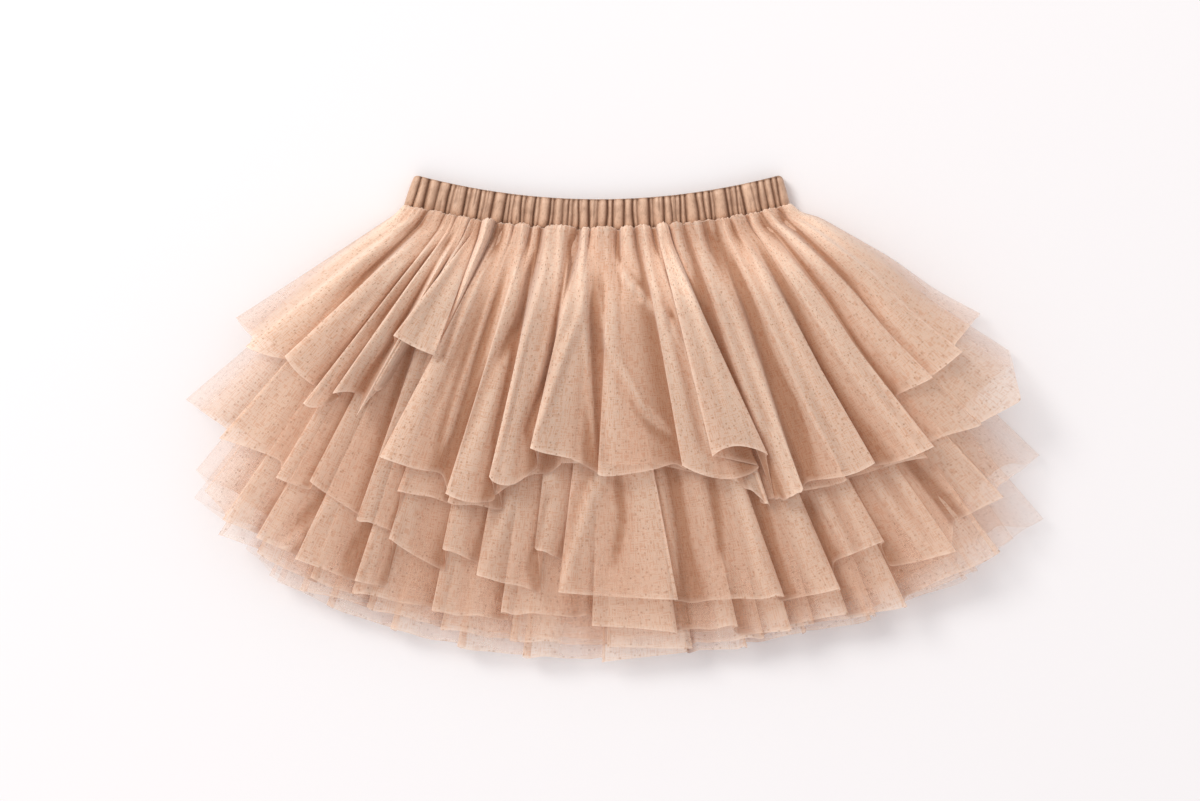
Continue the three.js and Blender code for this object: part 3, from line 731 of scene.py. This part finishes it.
def add_mesh(name, points, uv_u, uv_v, values, material):
    """A sheet from rows of points round a tube, with its flat cloth as UV map and values as attributes."""
    rows, count, _ = points.shape
    shifted = points + np.array([SHIFT_X, 0.0, 0.0])
    verts = (shifted * MM).reshape(-1, 3)
    j, i = np.meshgrid(np.arange(rows - 1), np.arange(count), indexing="ij")
    after = (i + 1) % count
    corners = [j * count + i, (j + 1) * count + i, (j + 1) * count + after, j * count + after]
    faces = np.stack(corners, axis=-1).reshape(-1, 4)
    mesh = bpy.data.meshes.new(name)
    mesh.from_pydata(verts.tolist(), [], faces.tolist())
    uv = mesh.uv_layers.new(name="flat_cloth")
    left, right = uv_u[i], uv_u[i + 1]
    places = [left, uv_v[j, i], left, uv_v[j + 1, i], right, uv_v[j + 1, after], right, uv_v[j, after]]
    coords = np.stack(places, axis=-1).reshape(-1) * MM
    uv.data.foreach_set("uv", coords.astype(np.float32))
    for key, data in values.items():
        layer = mesh.attributes.new(key, "FLOAT", "POINT")
        layer.data.foreach_set("value", data.reshape(-1).astype(np.float32))
    mesh.polygons.foreach_set("use_smooth", np.ones(len(faces), dtype=bool))
    mesh.materials.append(material)
    mesh.update()
    piece = bpy.data.objects.new(name, mesh)
    bpy.context.scene.collection.objects.link(piece)
    return piece


# Materials


class Nodes:
    """Short names for adding and joining shader nodes."""

    def __init__(self, name):
        self.material = bpy.data.materials.new(name)
        self.material.use_nodes = True
        self.tree = self.material.node_tree
        self.tree.nodes.clear()
        self.output = self.tree.nodes.new("ShaderNodeOutputMaterial")

    def add(self, kind, inputs=None, **settings):
        node = self.tree.nodes.new(kind)
        for key, value in settings.items():
            setattr(node, key, value)
        for key, value in (inputs or {}).items():
            socket = node.inputs[key]
            if isinstance(value, bpy.types.NodeSocket):
                self.tree.links.new(value, socket)
            else:
                socket.default_value = value
        return node

    def value(self, name):
        return self.add("ShaderNodeAttribute", attribute_name=name).outputs["Fac"]

    def times(self, place, stretch):
        return self.add("ShaderNodeVectorMath", {0: place, 1: stretch}, operation="MULTIPLY").outputs[0]

    def noise(self, place, scale, detail=0.0):
        inputs = {"Vector": place, "Scale": scale, "Detail": detail}
        return self.add("ShaderNodeTexNoise", inputs, noise_dimensions="2D").outputs[0]

    def math(self, operation, a, b=0.0, c=0.0):
        return self.add("ShaderNodeMath", {0: a, 1: b, 2: c}, operation=operation).outputs[0]

    def band(self, value, low, high, to_low=0.0, to_high=1.0):
        inputs = {"Value": value, "From Min": low, "From Max": high, "To Min": to_low, "To Max": to_high}
        return self.add("ShaderNodeMapRange", inputs, interpolation_type="SMOOTHSTEP").outputs[0]

    def blend(self, share, a, b, blend_type="MIX"):
        node = self.add("ShaderNodeMix", data_type="RGBA", blend_type=blend_type)
        for index, value in ((0, share), (6, a), (7, b)):
            if isinstance(value, bpy.types.NodeSocket):
                self.tree.links.new(value, node.inputs[index])
            else:
                node.inputs[index].default_value = value
        return node.outputs[2]

    def finish(self, surface):
        self.tree.links.new(surface, self.output.inputs["Surface"])
        return self.material


# Threads of the net, across and along: how short they are, and their shares
ACROSS = (0.16, 0.55)
ALONG = (0.18, 0.45)
PATCH_SCALE = 0.11
PATCH_BAND = (0.35, 0.55)
DOT_SCATTER = 0.75
DOT_BAND = (0.08, 0.18)
DOT_DENSER = 0.45
LEAST_DENSITY = 0.02
# Bands of relief for the painted highlight on ridges and the painted shade in hollows
RIDGE_HIGHLIGHT_BAND = (0.0, 0.8)
RIDGE_HIGHLIGHT_SHARE = 0.8
HOLLOW_SHADE_BAND = (-0.05, -1.15)
SPECK_BAND = (-0.06, 0.17)
# Shares of the painted highlight on turned cloth and of the pale cut edge
TURN_HIGHLIGHT = 0.45
EDGE_PALE = 0.25
TO_MM = (1000, 1000, 1000)


def tulle_material(name, colour, looks):
    """Fine net: see-through, denser where gathered, with a fine grain, tiny dark dots, a pale cut edge,
    painted highlight on its ridges and turned folds, and painted shade in its hollows.
    """
    n = Nodes(name)
    uv = n.add("ShaderNodeUVMap", uv_map="flat_cloth").outputs[0]
    sheer, relief, turn, edge = (n.value(key) for key in ("sheer", "relief", "turn", "edge"))
    flat = n.times(uv, TO_MM)
    across = ((looks.net_fineness, ACROSS[0], 1.0), ACROSS[1])
    along = ((ALONG[0], looks.net_fineness, 1.0), ALONG[1])
    grain = 0.0
    for stretch, share in (across, along):
        grain = n.math("MULTIPLY_ADD", n.noise(n.times(flat, stretch), 1.0), share, grain)
    patch = n.noise(flat, PATCH_SCALE)
    scatter = {"Vector": flat, "Scale": 1 / looks.dot_spacing, "Randomness": DOT_SCATTER}
    dots = n.add("ShaderNodeTexVoronoi", scatter, voronoi_dimensions="2D").outputs["Distance"]
    dot = n.math("MULTIPLY", n.band(dots, *DOT_BAND, 1.0, 0.0), n.band(patch, *PATCH_BAND))
    streak = n.math("SUBTRACT", grain, 0.5)
    density = n.math("MULTIPLY", sheer, n.math("MULTIPLY_ADD", streak, looks.grain_strength, 1.0))
    density = n.math("MULTIPLY_ADD", edge, looks.edge_density, density)
    density = n.math("MULTIPLY", density, n.math("MULTIPLY_ADD", dot, DOT_DENSER, 1.0))
    density = n.add("ShaderNodeClamp", {"Value": density, "Min": LEAST_DENSITY, "Max": 1.0}).outputs[0]
    # Painted highlight on the ridges and painted shade in the hollows
    ridge = n.band(relief, *RIDGE_HIGHLIGHT_BAND)
    hollow = n.band(relief, *HOLLOW_SHADE_BAND)
    tint = n.blend(n.math("MULTIPLY", ridge, RIDGE_HIGHLIGHT_SHARE), colour, looks.ridge_highlight_colour)
    tint = n.blend(n.math("MULTIPLY", hollow, looks.hollow_shade_strength), tint, looks.hollow_shade_colour)
    speck = n.band(streak, *SPECK_BAND, 0.0, looks.net_strength)
    tint = n.blend(speck, tint, looks.grain_colour, "MULTIPLY")
    # Pale cut edge, and painted highlight where the cloth turns steep at the folds' edges
    pale = n.math("MAXIMUM", n.math("MULTIPLY", turn, TURN_HIGHLIGHT), n.math("MULTIPLY", edge, EDGE_PALE))
    tint = n.blend(pale, tint, looks.pale_edge_and_turn_highlight)
    tint = n.blend(n.math("MULTIPLY", dot, looks.dot_strength), tint, looks.dot_colour)
    soft = {"Base Color": tint, "Roughness": 0.85, "Specular IOR Level": 0.1}
    surface = n.add("ShaderNodeBsdfPrincipled", soft).outputs[0]
    through = n.add("ShaderNodeBsdfTranslucent", {"Color": tint}).outputs[0]
    cloth = n.add("ShaderNodeMixShader", {0: looks.light_through, 1: surface, 2: through}).outputs[0]
    clear = n.add("ShaderNodeBsdfTransparent").outputs[0]
    return n.finish(n.add("ShaderNodeMixShader", {0: density, 1: clear, 2: cloth}).outputs[0])


# Satin: stretch of the weave along the band, and how much weave and patches darken it
WEAVE_STRETCH = (2.4, 0.5, 1.0)
WEAVE_SCALE = 0.9
WEAVE_BAND = (0.45, 0.8, 0.0, 0.35)
SATIN_PATCH_SCALE = 0.16
SATIN_PATCH_BAND = (0.4, 0.75, 0.0, 0.3)
# Share of the painted shade in the gathers
VALLEY_SHADE_SHARE = 0.9


def satin_material(name, looks):
    """Soft satin of the waistband: fine weave and random patches, with painted shade in the bottoms of the
    gathers and on the crests' sides away from the light.
    """
    n = Nodes(name)
    uv = n.add("ShaderNodeUVMap", uv_map="flat_cloth").outputs[0]
    valley_shade = n.value("valley_shade")
    flat = n.times(uv, TO_MM)
    weave = n.noise(n.times(flat, WEAVE_STRETCH), WEAVE_SCALE, 2.0)
    patch = n.noise(flat, SATIN_PATCH_SCALE, 1.0)
    tint = n.blend(n.band(patch, *SATIN_PATCH_BAND), looks.satin_colour, looks.satin_dark_and_shade)
    tint = n.blend(n.band(weave, *WEAVE_BAND), tint, looks.satin_dark_and_shade)
    # Painted shade in the gathers' bottoms and on the crests' sides away from the light
    tint = n.blend(n.math("MULTIPLY", valley_shade, VALLEY_SHADE_SHARE), tint, looks.satin_dark_and_shade)
    bump = n.add("ShaderNodeBump", {"Height": weave, "Strength": 0.3, "Distance": 0.0004}).outputs[0]
    satin = {"Base Color": tint, "Roughness": 0.42, "Specular IOR Level": 0.4, "Normal": bump}
    satin.update({"Sheen Weight": 0.25, "Sheen Roughness": 0.4})
    return n.finish(n.add("ShaderNodeBsdfPrincipled", satin).outputs[0])


# Sizes and colours that a user would change


def number_field(name, description, default, low, high, **more):
    return FloatProperty(name=name, description=description, default=default, min=low, max=high, **more)


def share_field(name, description, default, low=0, high=1):
    return number_field(name, description, default, low, high, subtype="FACTOR")


def colour_field(name, description, default):
    return FloatVectorProperty(
        name=name, description=description, subtype="COLOR", size=4, default=default, min=0, max=1
    )


class SkirtSizes(bpy.types.PropertyGroup):
    fold_height: number_field("Fold height", "Height of the folds, as a share of the solids'", 1.0, 0.2, 2.0)
    gather_height: number_field("Gather height", "Height of the small gathers, in millimetres", 0.9, 0.0, 3.0)
    crease_height: number_field("Crease height", "Share of the creases' drawn height", 1.0, 0.0, 2.0)
    fold_softness: number_field("Fold softness", "How round the folds' edges are, in columns", 1.2, 0.3, 4.0)
    column_step: number_field("Column step", "Distance between hem columns, in millimetres", 1.7, 1.0, 6.0)
    single_ply: share_field("Single ply", "Share of light that one ply of flat net stops", 0.34, 0.05, 0.95)
    side_sheer: share_field("Side sheerness", "Density at the sides, as a share of the middle's", 0.28, 0.1)
    band_columns: IntProperty(
        name="Band columns", description="Columns of the waistband's front", default=620, min=120, max=1200
    )
    gather_depth: number_field("Gather depth", "Share of the gathers' drawn depth", 1.0, 0.0, 2.0)


class SkirtLooks(bpy.types.PropertyGroup):
    over_colour: colour_field("Over ruffles", "Colour of the over ruffles' net", (0.975, 0.69, 0.515, 1))
    under_colour: colour_field("Under ruffles", "Colour of the under ruffles' net", (0.965, 0.672, 0.495, 1))
    # Painted highlight colour on the net's ridges
    ridge_highlight_colour: colour_field("Ridges", "Colour of the net on its ridges", (1.0, 0.785, 0.62, 1))
    # Painted shade colour in the net's hollows
    hollow_shade_colour: colour_field("Hollows", "Colour of the net in its hollows", (0.46, 0.235, 0.135, 1))
    # Pale colour of the cut edges, and painted highlight on the turned folds' edges
    pale_edge_and_turn_highlight: colour_field("Cut edge", "Colour of the cut and turned edges", (0.98, 0.85, 0.74, 1))
    grain_colour: colour_field("Specks", "Tint of the net's dark specks", (0.76, 0.61, 0.53, 1))
    dot_colour: colour_field("Dots", "Colour of the tiny dots", (0.36, 0.20, 0.12, 1))
    satin_colour: colour_field("Satin", "Colour of the waistband", (0.74, 0.485, 0.335, 1))
    # Dark tone of the weave and patches, and the painted shade in the gathers
    satin_dark_and_shade: colour_field("Satin folds", "Colour in the waistband's folds", (0.22, 0.10, 0.052, 1))
    dot_spacing: number_field("Dot spacing", "Distance between dots, in millimetres", 4.8, 1, 20)
    dot_strength: share_field("Dot strength", "How dark the dots are", 0.75)
    grain_strength: number_field("Grain", "How uneven the net's density is", 0.5, 0, 3)
    net_fineness: number_field("Net fineness", "Threads of the net for each millimetre", 1.35, 0.2, 4)
    net_strength: share_field("Net strength", "How much the net's specks show", 0.85)
    # How strong the painted shade in the hollows is
    hollow_shade_strength: share_field("Hollow strength", "How much the hollows darken", 0.95)
    edge_density: share_field("Edge density", "How much denser the cut edge is", 0.16)
    light_through: share_field("Light through", "Share of light that glows through the net", 0.14)


class StageSettings(bpy.types.PropertyGroup):
    key_power: number_field("Window light", "Power of the large soft light, in watts", 128.0, 0.0, 900.0)
    sky_strength: number_field("Fill", "Strength of the even light from all round", 0.76, 0.0, 4.0)
    camera_distance: number_field(
        "Camera distance", "Height of the camera over the table", 4.0, 0.5, 10.0, unit="LENGTH"
    )
    frame_width: number_field("Frame width", "Width of table in the picture", 0.72, 0.1, 3.0, unit="LENGTH")


# Waistband

BAND_MIDDLE = 4.6
BAND_THICK = 5.6
BAND_THIN_SHARE = 0.62
BAND_EDGE_POWER = 6
BAND_SIDE = 4.0
BAND_WALL = 2.2
BAND_CORNER = 4.0
MOST_CORNER = 0.96
BAND_CLEAR = 0.15
BAND_SEED = 5
BAND_TURN_STEPS = 12
BAND_ROWS = (1.0, 0.96, 0.9, 0.82, 0.72, 0.62, 0.52, 0.42, 0.32, 0.22, 0.14, 0.08, 0.03, 0.0)
MEASURED_ROW = 8
INSIDE_DEPTH = 0.45
BACK_DEPTH = 0.5

# Short seeded gathers between the drawn ones, how all of them lean and bend, their crests and shading
SHORT_COUNT = 60
SHORT_HALF = 110
SHORT_DEEP = (0.3, 0.7)
SHORT_WIDE = (0.4, 0.7)
SHORT_REACH = (0.5, 1.1)
SHORT_FADE = 0.3
WHOLE_REACH = 9.0
MOST_LEAN = 0.6
MOST_BEND = 0.3
BEND_TURNS = 5.0
END_WIDTH = 0.8
MIDDLE_WIDTH = 1.15
VALLEY_POWER = 1.3
VALLEY_DEPTH = 1.3
CREST_DEPTH = 1.6
CREST_GAP = 5.5
LEAST_CREST = 0.35
MOST_CREST = 1.2
# Painted shade: gather depth that is painted fully dark, its curve, and shade on the crests' sides away from
# the light
FULL_DARK = 1.05
DARK_POWER = 1.1
SIDE_SHADE = 0.16
UNEVEN_SHADE = 0.08
UNEVEN_TURNS = 2.4
UNEVEN_PHASE = 0.7


def band_ring(count):
    """Place along the seam and turning angle of each column round the band: 0 is the front, pi the back."""
    flat = SEAM_HALF - BAND_SIDE
    front = [(x, 0.0) for x in np.linspace(-flat, flat, count)]
    turn = [(flat, a) for a in np.linspace(0, math.pi, BAND_TURN_STEPS)[1:-1]]
    back = [(x, math.pi) for x in np.linspace(flat, -flat, count // 2)]
    home = [(-flat, a) for a in np.linspace(math.pi, 2 * math.pi, BAND_TURN_STEPS)[1:-1]]
    return np.array(front + turn + back + home)


def gather_field(x, v, seed, depth_share):
    """Depth of the gathers below the crests, and their painted shade, darkest in their bottoms, with more on
    the crests' sides away from the light and unevenly from crest to crest, at one height of the band.
    """
    rng = np.random.default_rng(seed)
    folds = [(g["x"], g["deep"], g["wide"], 0.0, WHOLE_REACH) for g in rows_of(GATHER_COLUMNS, GATHERS)]
    for _ in range(SHORT_COUNT):
        start = rng.choice((0.0, 1.0))
        place = rng.uniform(-SHORT_HALF, SHORT_HALF)
        deep = rng.uniform(*SHORT_DEEP)
        wide = rng.uniform(*SHORT_WIDE)
        folds.append((place, deep, wide, start, rng.uniform(*SHORT_REACH)))
    lines = []
    field = np.zeros(x.shape)
    for place, deep, wide, start, reach in folds:
        lean = rng.uniform(-MOST_LEAN, MOST_LEAN)
        bend = rng.uniform(-MOST_BEND, MOST_BEND)
        line = place + lean * (v - 0.5) + bend * math.sin(v * BEND_TURNS + place)
        shown = 1 - float(ease((abs(v - start) - reach + SHORT_FADE) / SHORT_FADE))
        narrow = mix(END_WIDTH, MIDDLE_WIDTH, 4 * v * (1 - v))
        away = np.abs((x - line) / (wide * narrow))
        field = np.maximum(field, deep * shown * np.exp(-(away**VALLEY_POWER)))
        if reach == WHOLE_REACH:
            lines.append(line)
    lines = np.sort(np.array([-SEAM_HALF, *lines, SEAM_HALF]))
    after = np.clip(np.searchsorted(lines, x), 1, len(lines) - 1)
    gap = lines[after] - lines[after - 1]
    part = np.clip((x - lines[after - 1]) / gap, 0, 1)
    crest = np.sqrt(np.clip(1 - (2 * part - 1) ** 2, 0, 1))
    crest = crest * np.clip(gap / CREST_GAP, LEAST_CREST, MOST_CREST)
    depth = VALLEY_DEPTH * field + CREST_DEPTH * (MOST_CREST - crest)
    uneven = np.sin(after * UNEVEN_TURNS + UNEVEN_PHASE) + 1
    # Painted shade on each crest's side away from the light, uneven from crest to crest; the gathers' bottoms
    # are painted dark too
    shade = SIDE_SHADE * ease(part) + UNEVEN_SHADE * uneven * part
    dark = np.clip(field / FULL_DARK, 0, 1) ** DARK_POWER + shade
    return depth * depth_share, np.clip(dark, 0, 1)


def band_points(sizes):
    """Points of the casing in millimetres: up the outside from the seam, over the top and down the inside."""
    ring = band_ring(sizes.band_columns)
    x, angle = ring[:, 0], ring[:, 1]
    facing = np.cos(angle)
    sideways = np.sin(angle)
    back_share = np.where(facing > 0, 1.0, BACK_DEPTH)
    rows = []
    valley_shades = []
    for inside in (False, True):
        wall = BAND_WALL if inside else 0.0
        for v in BAND_ROWS[::-1] if inside else BAND_ROWS:
            edge = 1 - abs(2 * v - 1) ** BAND_EDGE_POWER
            thick = (BAND_THICK - wall) * (1.0 if inside else mix(BAND_THIN_SHARE, 1.0, edge))
            across = x + sideways * (BAND_SIDE - wall)
            deep, dark = gather_field(x, v, BAND_SEED, sizes.gather_depth)
            share_deep = (INSIDE_DEPTH if inside else 1.0) * back_share
            deep = deep * share_deep * np.abs(facing)
            z = BAND_MIDDLE + facing * (thick - deep)
            if v == 0.0:
                z = BAND_MIDDLE + facing * (BAND_THICK - BAND_WALL / 2 - deep * 0.5)
            share = across / SEAM_HALF
            corner = np.clip((np.abs(across) - SEAM_HALF + BAND_CORNER) / BAND_CORNER, 0, 1)
            corner_drop = BAND_CORNER * (1 - np.sqrt(1 - np.minimum(corner, MOST_CORNER) ** 2)) * (1 - v) ** 2
            low_x = SEAM_X + across
            low_y = seam_y(low_x) + BAND_GAP
            high_x = BAND_TOP_X + share * BAND_TOP_HALF
            high_y = BAND_TOP_Y + BAND_TOP_RISE * share**2
            y = mix(high_y, low_y, v) - corner_drop
            rows.append(np.stack([mix(high_x, low_x, v), y, np.maximum(z, BAND_CLEAR)], axis=1))
            valley_shades.append(dark * back_share)
    return np.array(rows), np.array(valley_shades)


class SKIRT_OT_waistband(bpy.types.Operator):
    """Makes the gathered satin waistband"""

    bl_idname = "skirt.waistband"
    bl_label = "Waistband"

    def execute(self, context):
        sizes = context.scene.skirt_sizes
        looks = context.scene.skirt_looks
        points, valley_shades = band_points(sizes)
        points = points[:, ::-1]
        valley_shades = valley_shades[:, ::-1]
        closed = np.concatenate([points, points[:, :1]], axis=1)
        u = np.concatenate([[0], np.cumsum(np.linalg.norm(np.diff(closed[MEASURED_ROW], axis=0), axis=1))])
        v = np.concatenate([[0], np.cumsum(np.linalg.norm(np.diff(points[:, 0], axis=0), axis=1))])
        v = np.repeat(v[:, None], points.shape[1], axis=1)
        material = satin_material("waistband_satin", looks)
        values = {"valley_shade": valley_shades}
        band = add_mesh("gathered_waistband", points, u, v, values, material)
        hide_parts("waistband")
        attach(band, "root")
        return {"FINISHED"}


class SKIRT_OT_ruffles(bpy.types.Operator):
    """Makes the six gathered tulle ruffles, three tiers of an over and an under ruffle"""

    bl_idname = "skirt.ruffles"
    bl_label = "Ruffles"

    def execute(self, context):
        sizes = context.scene.skirt_sizes
        looks = context.scene.skirt_looks
        over = tulle_material("tulle_over", looks.over_colour, looks)
        under = tulle_material("tulle_under", looks.under_colour, looks)
        for depth, ruffle in enumerate(rows_of(RUFFLE_COLUMNS, RUFFLES)):
            is_over = ruffle["name"].endswith("over")
            points, s, seam = ruffle_grid(ruffle, depth, sizes)
            values, u, v = cloth_values(points, seam, s, ruffle, depth, sizes)
            piece = add_mesh("net_" + ruffle["name"], points, u, v, values, over if is_over else under)
            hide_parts(ruffle["name"])
            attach(piece, "root")
        return {"FINISHED"}


# Table, light and camera, in metres, and the middle of the picture in millimetres of the tables
TABLE_SIZE = 8.0
TABLE_DROP = 0.0002
TABLE_PATCHES = 3.0
TABLE_COLOURS = ((0.90, 0.885, 0.89, 1), (0.91, 0.895, 0.90, 1))
LIGHT_PLACE = (-2.7, 2.5, 3.1)
LIGHT_SIZE = 2.0
LIGHT_COLOUR = (1.0, 0.99, 0.97)
SKY_COLOUR = (1.0, 0.968, 0.978, 1)
SENSOR_WIDTH = 36.0
FARTHEST_SEEN = 50.0
PICTURE_X = -7.8
PICTURE_Y = 10.5


class SKIRT_OT_stage(bpy.types.Operator):
    """Makes the pale table, the soft light and the camera straight above"""

    bl_idname = "skirt.stage"
    bl_label = "Stage"

    def execute(self, context):
        scene = context.scene
        settings = scene.skirt_stage
        bpy.ops.object.select_all(action="DESELECT")
        bpy.ops.mesh.primitive_plane_add(size=TABLE_SIZE, location=(0, 0, -TABLE_DROP))
        floor = context.object
        floor.name = "table"
        n = Nodes("pale_table")
        place = n.add("ShaderNodeTexCoord").outputs["Object"]
        noise = n.add("ShaderNodeTexNoise", {"Vector": place, "Scale": TABLE_PATCHES}).outputs[0]
        paint = {"Base Color": n.blend(noise, *TABLE_COLOURS), "Roughness": 0.9, "Specular IOR Level": 0.1}
        surface = n.add("ShaderNodeBsdfPrincipled", paint)
        floor.data.materials.append(n.finish(surface.outputs[0]))

        bpy.ops.object.light_add(type="AREA", location=LIGHT_PLACE)
        key = context.object
        key.name = "window_light"
        key.data.shape = "DISK"
        key.data.size = LIGHT_SIZE
        key.data.energy = settings.key_power
        key.data.color = LIGHT_COLOUR
        direction = -key.location
        key.rotation_euler = direction.to_track_quat("-Z", "Y").to_euler()

        world = bpy.data.worlds.new("even_light")
        world.use_nodes = True
        background = world.node_tree.nodes["Background"]
        background.inputs["Color"].default_value = SKY_COLOUR
        background.inputs["Strength"].default_value = settings.sky_strength
        scene.world = world

        camera = bpy.data.cameras.new("camera")
        camera.sensor_width = SENSOR_WIDTH
        camera.lens = SENSOR_WIDTH * settings.camera_distance / settings.frame_width
        camera.clip_end = FARTHEST_SEEN
        viewpoint = bpy.data.objects.new("camera", camera)
        viewpoint.location = ((PICTURE_X + SHIFT_X) * MM, PICTURE_Y * MM, settings.camera_distance)
        scene.collection.objects.link(viewpoint)
        scene.camera = viewpoint
        scene.view_settings.view_transform = "Standard"
        scene.cycles.transparent_max_bounces = 20
        scene.cycles.max_bounces = 6
        scene.cycles.diffuse_bounces = 4
        scene.cycles.glossy_bounces = 1
        return {"FINISHED"}


class SKIRT_PT_panel(bpy.types.Panel):
    """Lists the skirt's pieces, sizes and colours"""

    bl_idname = "SKIRT_PT_panel"
    bl_label = "Tulle skirt"
    bl_space_type = "VIEW_3D"
    bl_region_type = "UI"
    bl_category = "Skirt"

    def draw(self, context):
        layout = self.layout
        for operator in (SKIRT_OT_stage, SKIRT_OT_waistband, SKIRT_OT_ruffles):
            layout.operator(operator.bl_idname)
        for group in (context.scene.skirt_sizes, context.scene.skirt_looks, context.scene.skirt_stage):
            for key in group.__annotations__:
                layout.prop(group, key)


CLASSES = (
    SkirtSizes,
    SkirtLooks,
    StageSettings,
    SKIRT_OT_waistband,
    SKIRT_OT_ruffles,
    SKIRT_OT_stage,
    SKIRT_PT_panel,
)


def register():
    for cls in CLASSES:
        bpy.utils.register_class(cls)
    bpy.types.Scene.skirt_sizes = PointerProperty(type=SkirtSizes)
    bpy.types.Scene.skirt_looks = PointerProperty(type=SkirtLooks)
    bpy.types.Scene.skirt_stage = PointerProperty(type=StageSettings)


def unregister():
    del bpy.types.Scene.skirt_stage
    del bpy.types.Scene.skirt_looks
    del bpy.types.Scene.skirt_sizes
    for cls in reversed(CLASSES):
        bpy.utils.unregister_class(cls)


def main():
    register()
    bpy.ops.skirt.stage()
    bpy.ops.skirt.waistband()
    bpy.ops.skirt.ruffles()


if __name__ == "__main__":
    main()
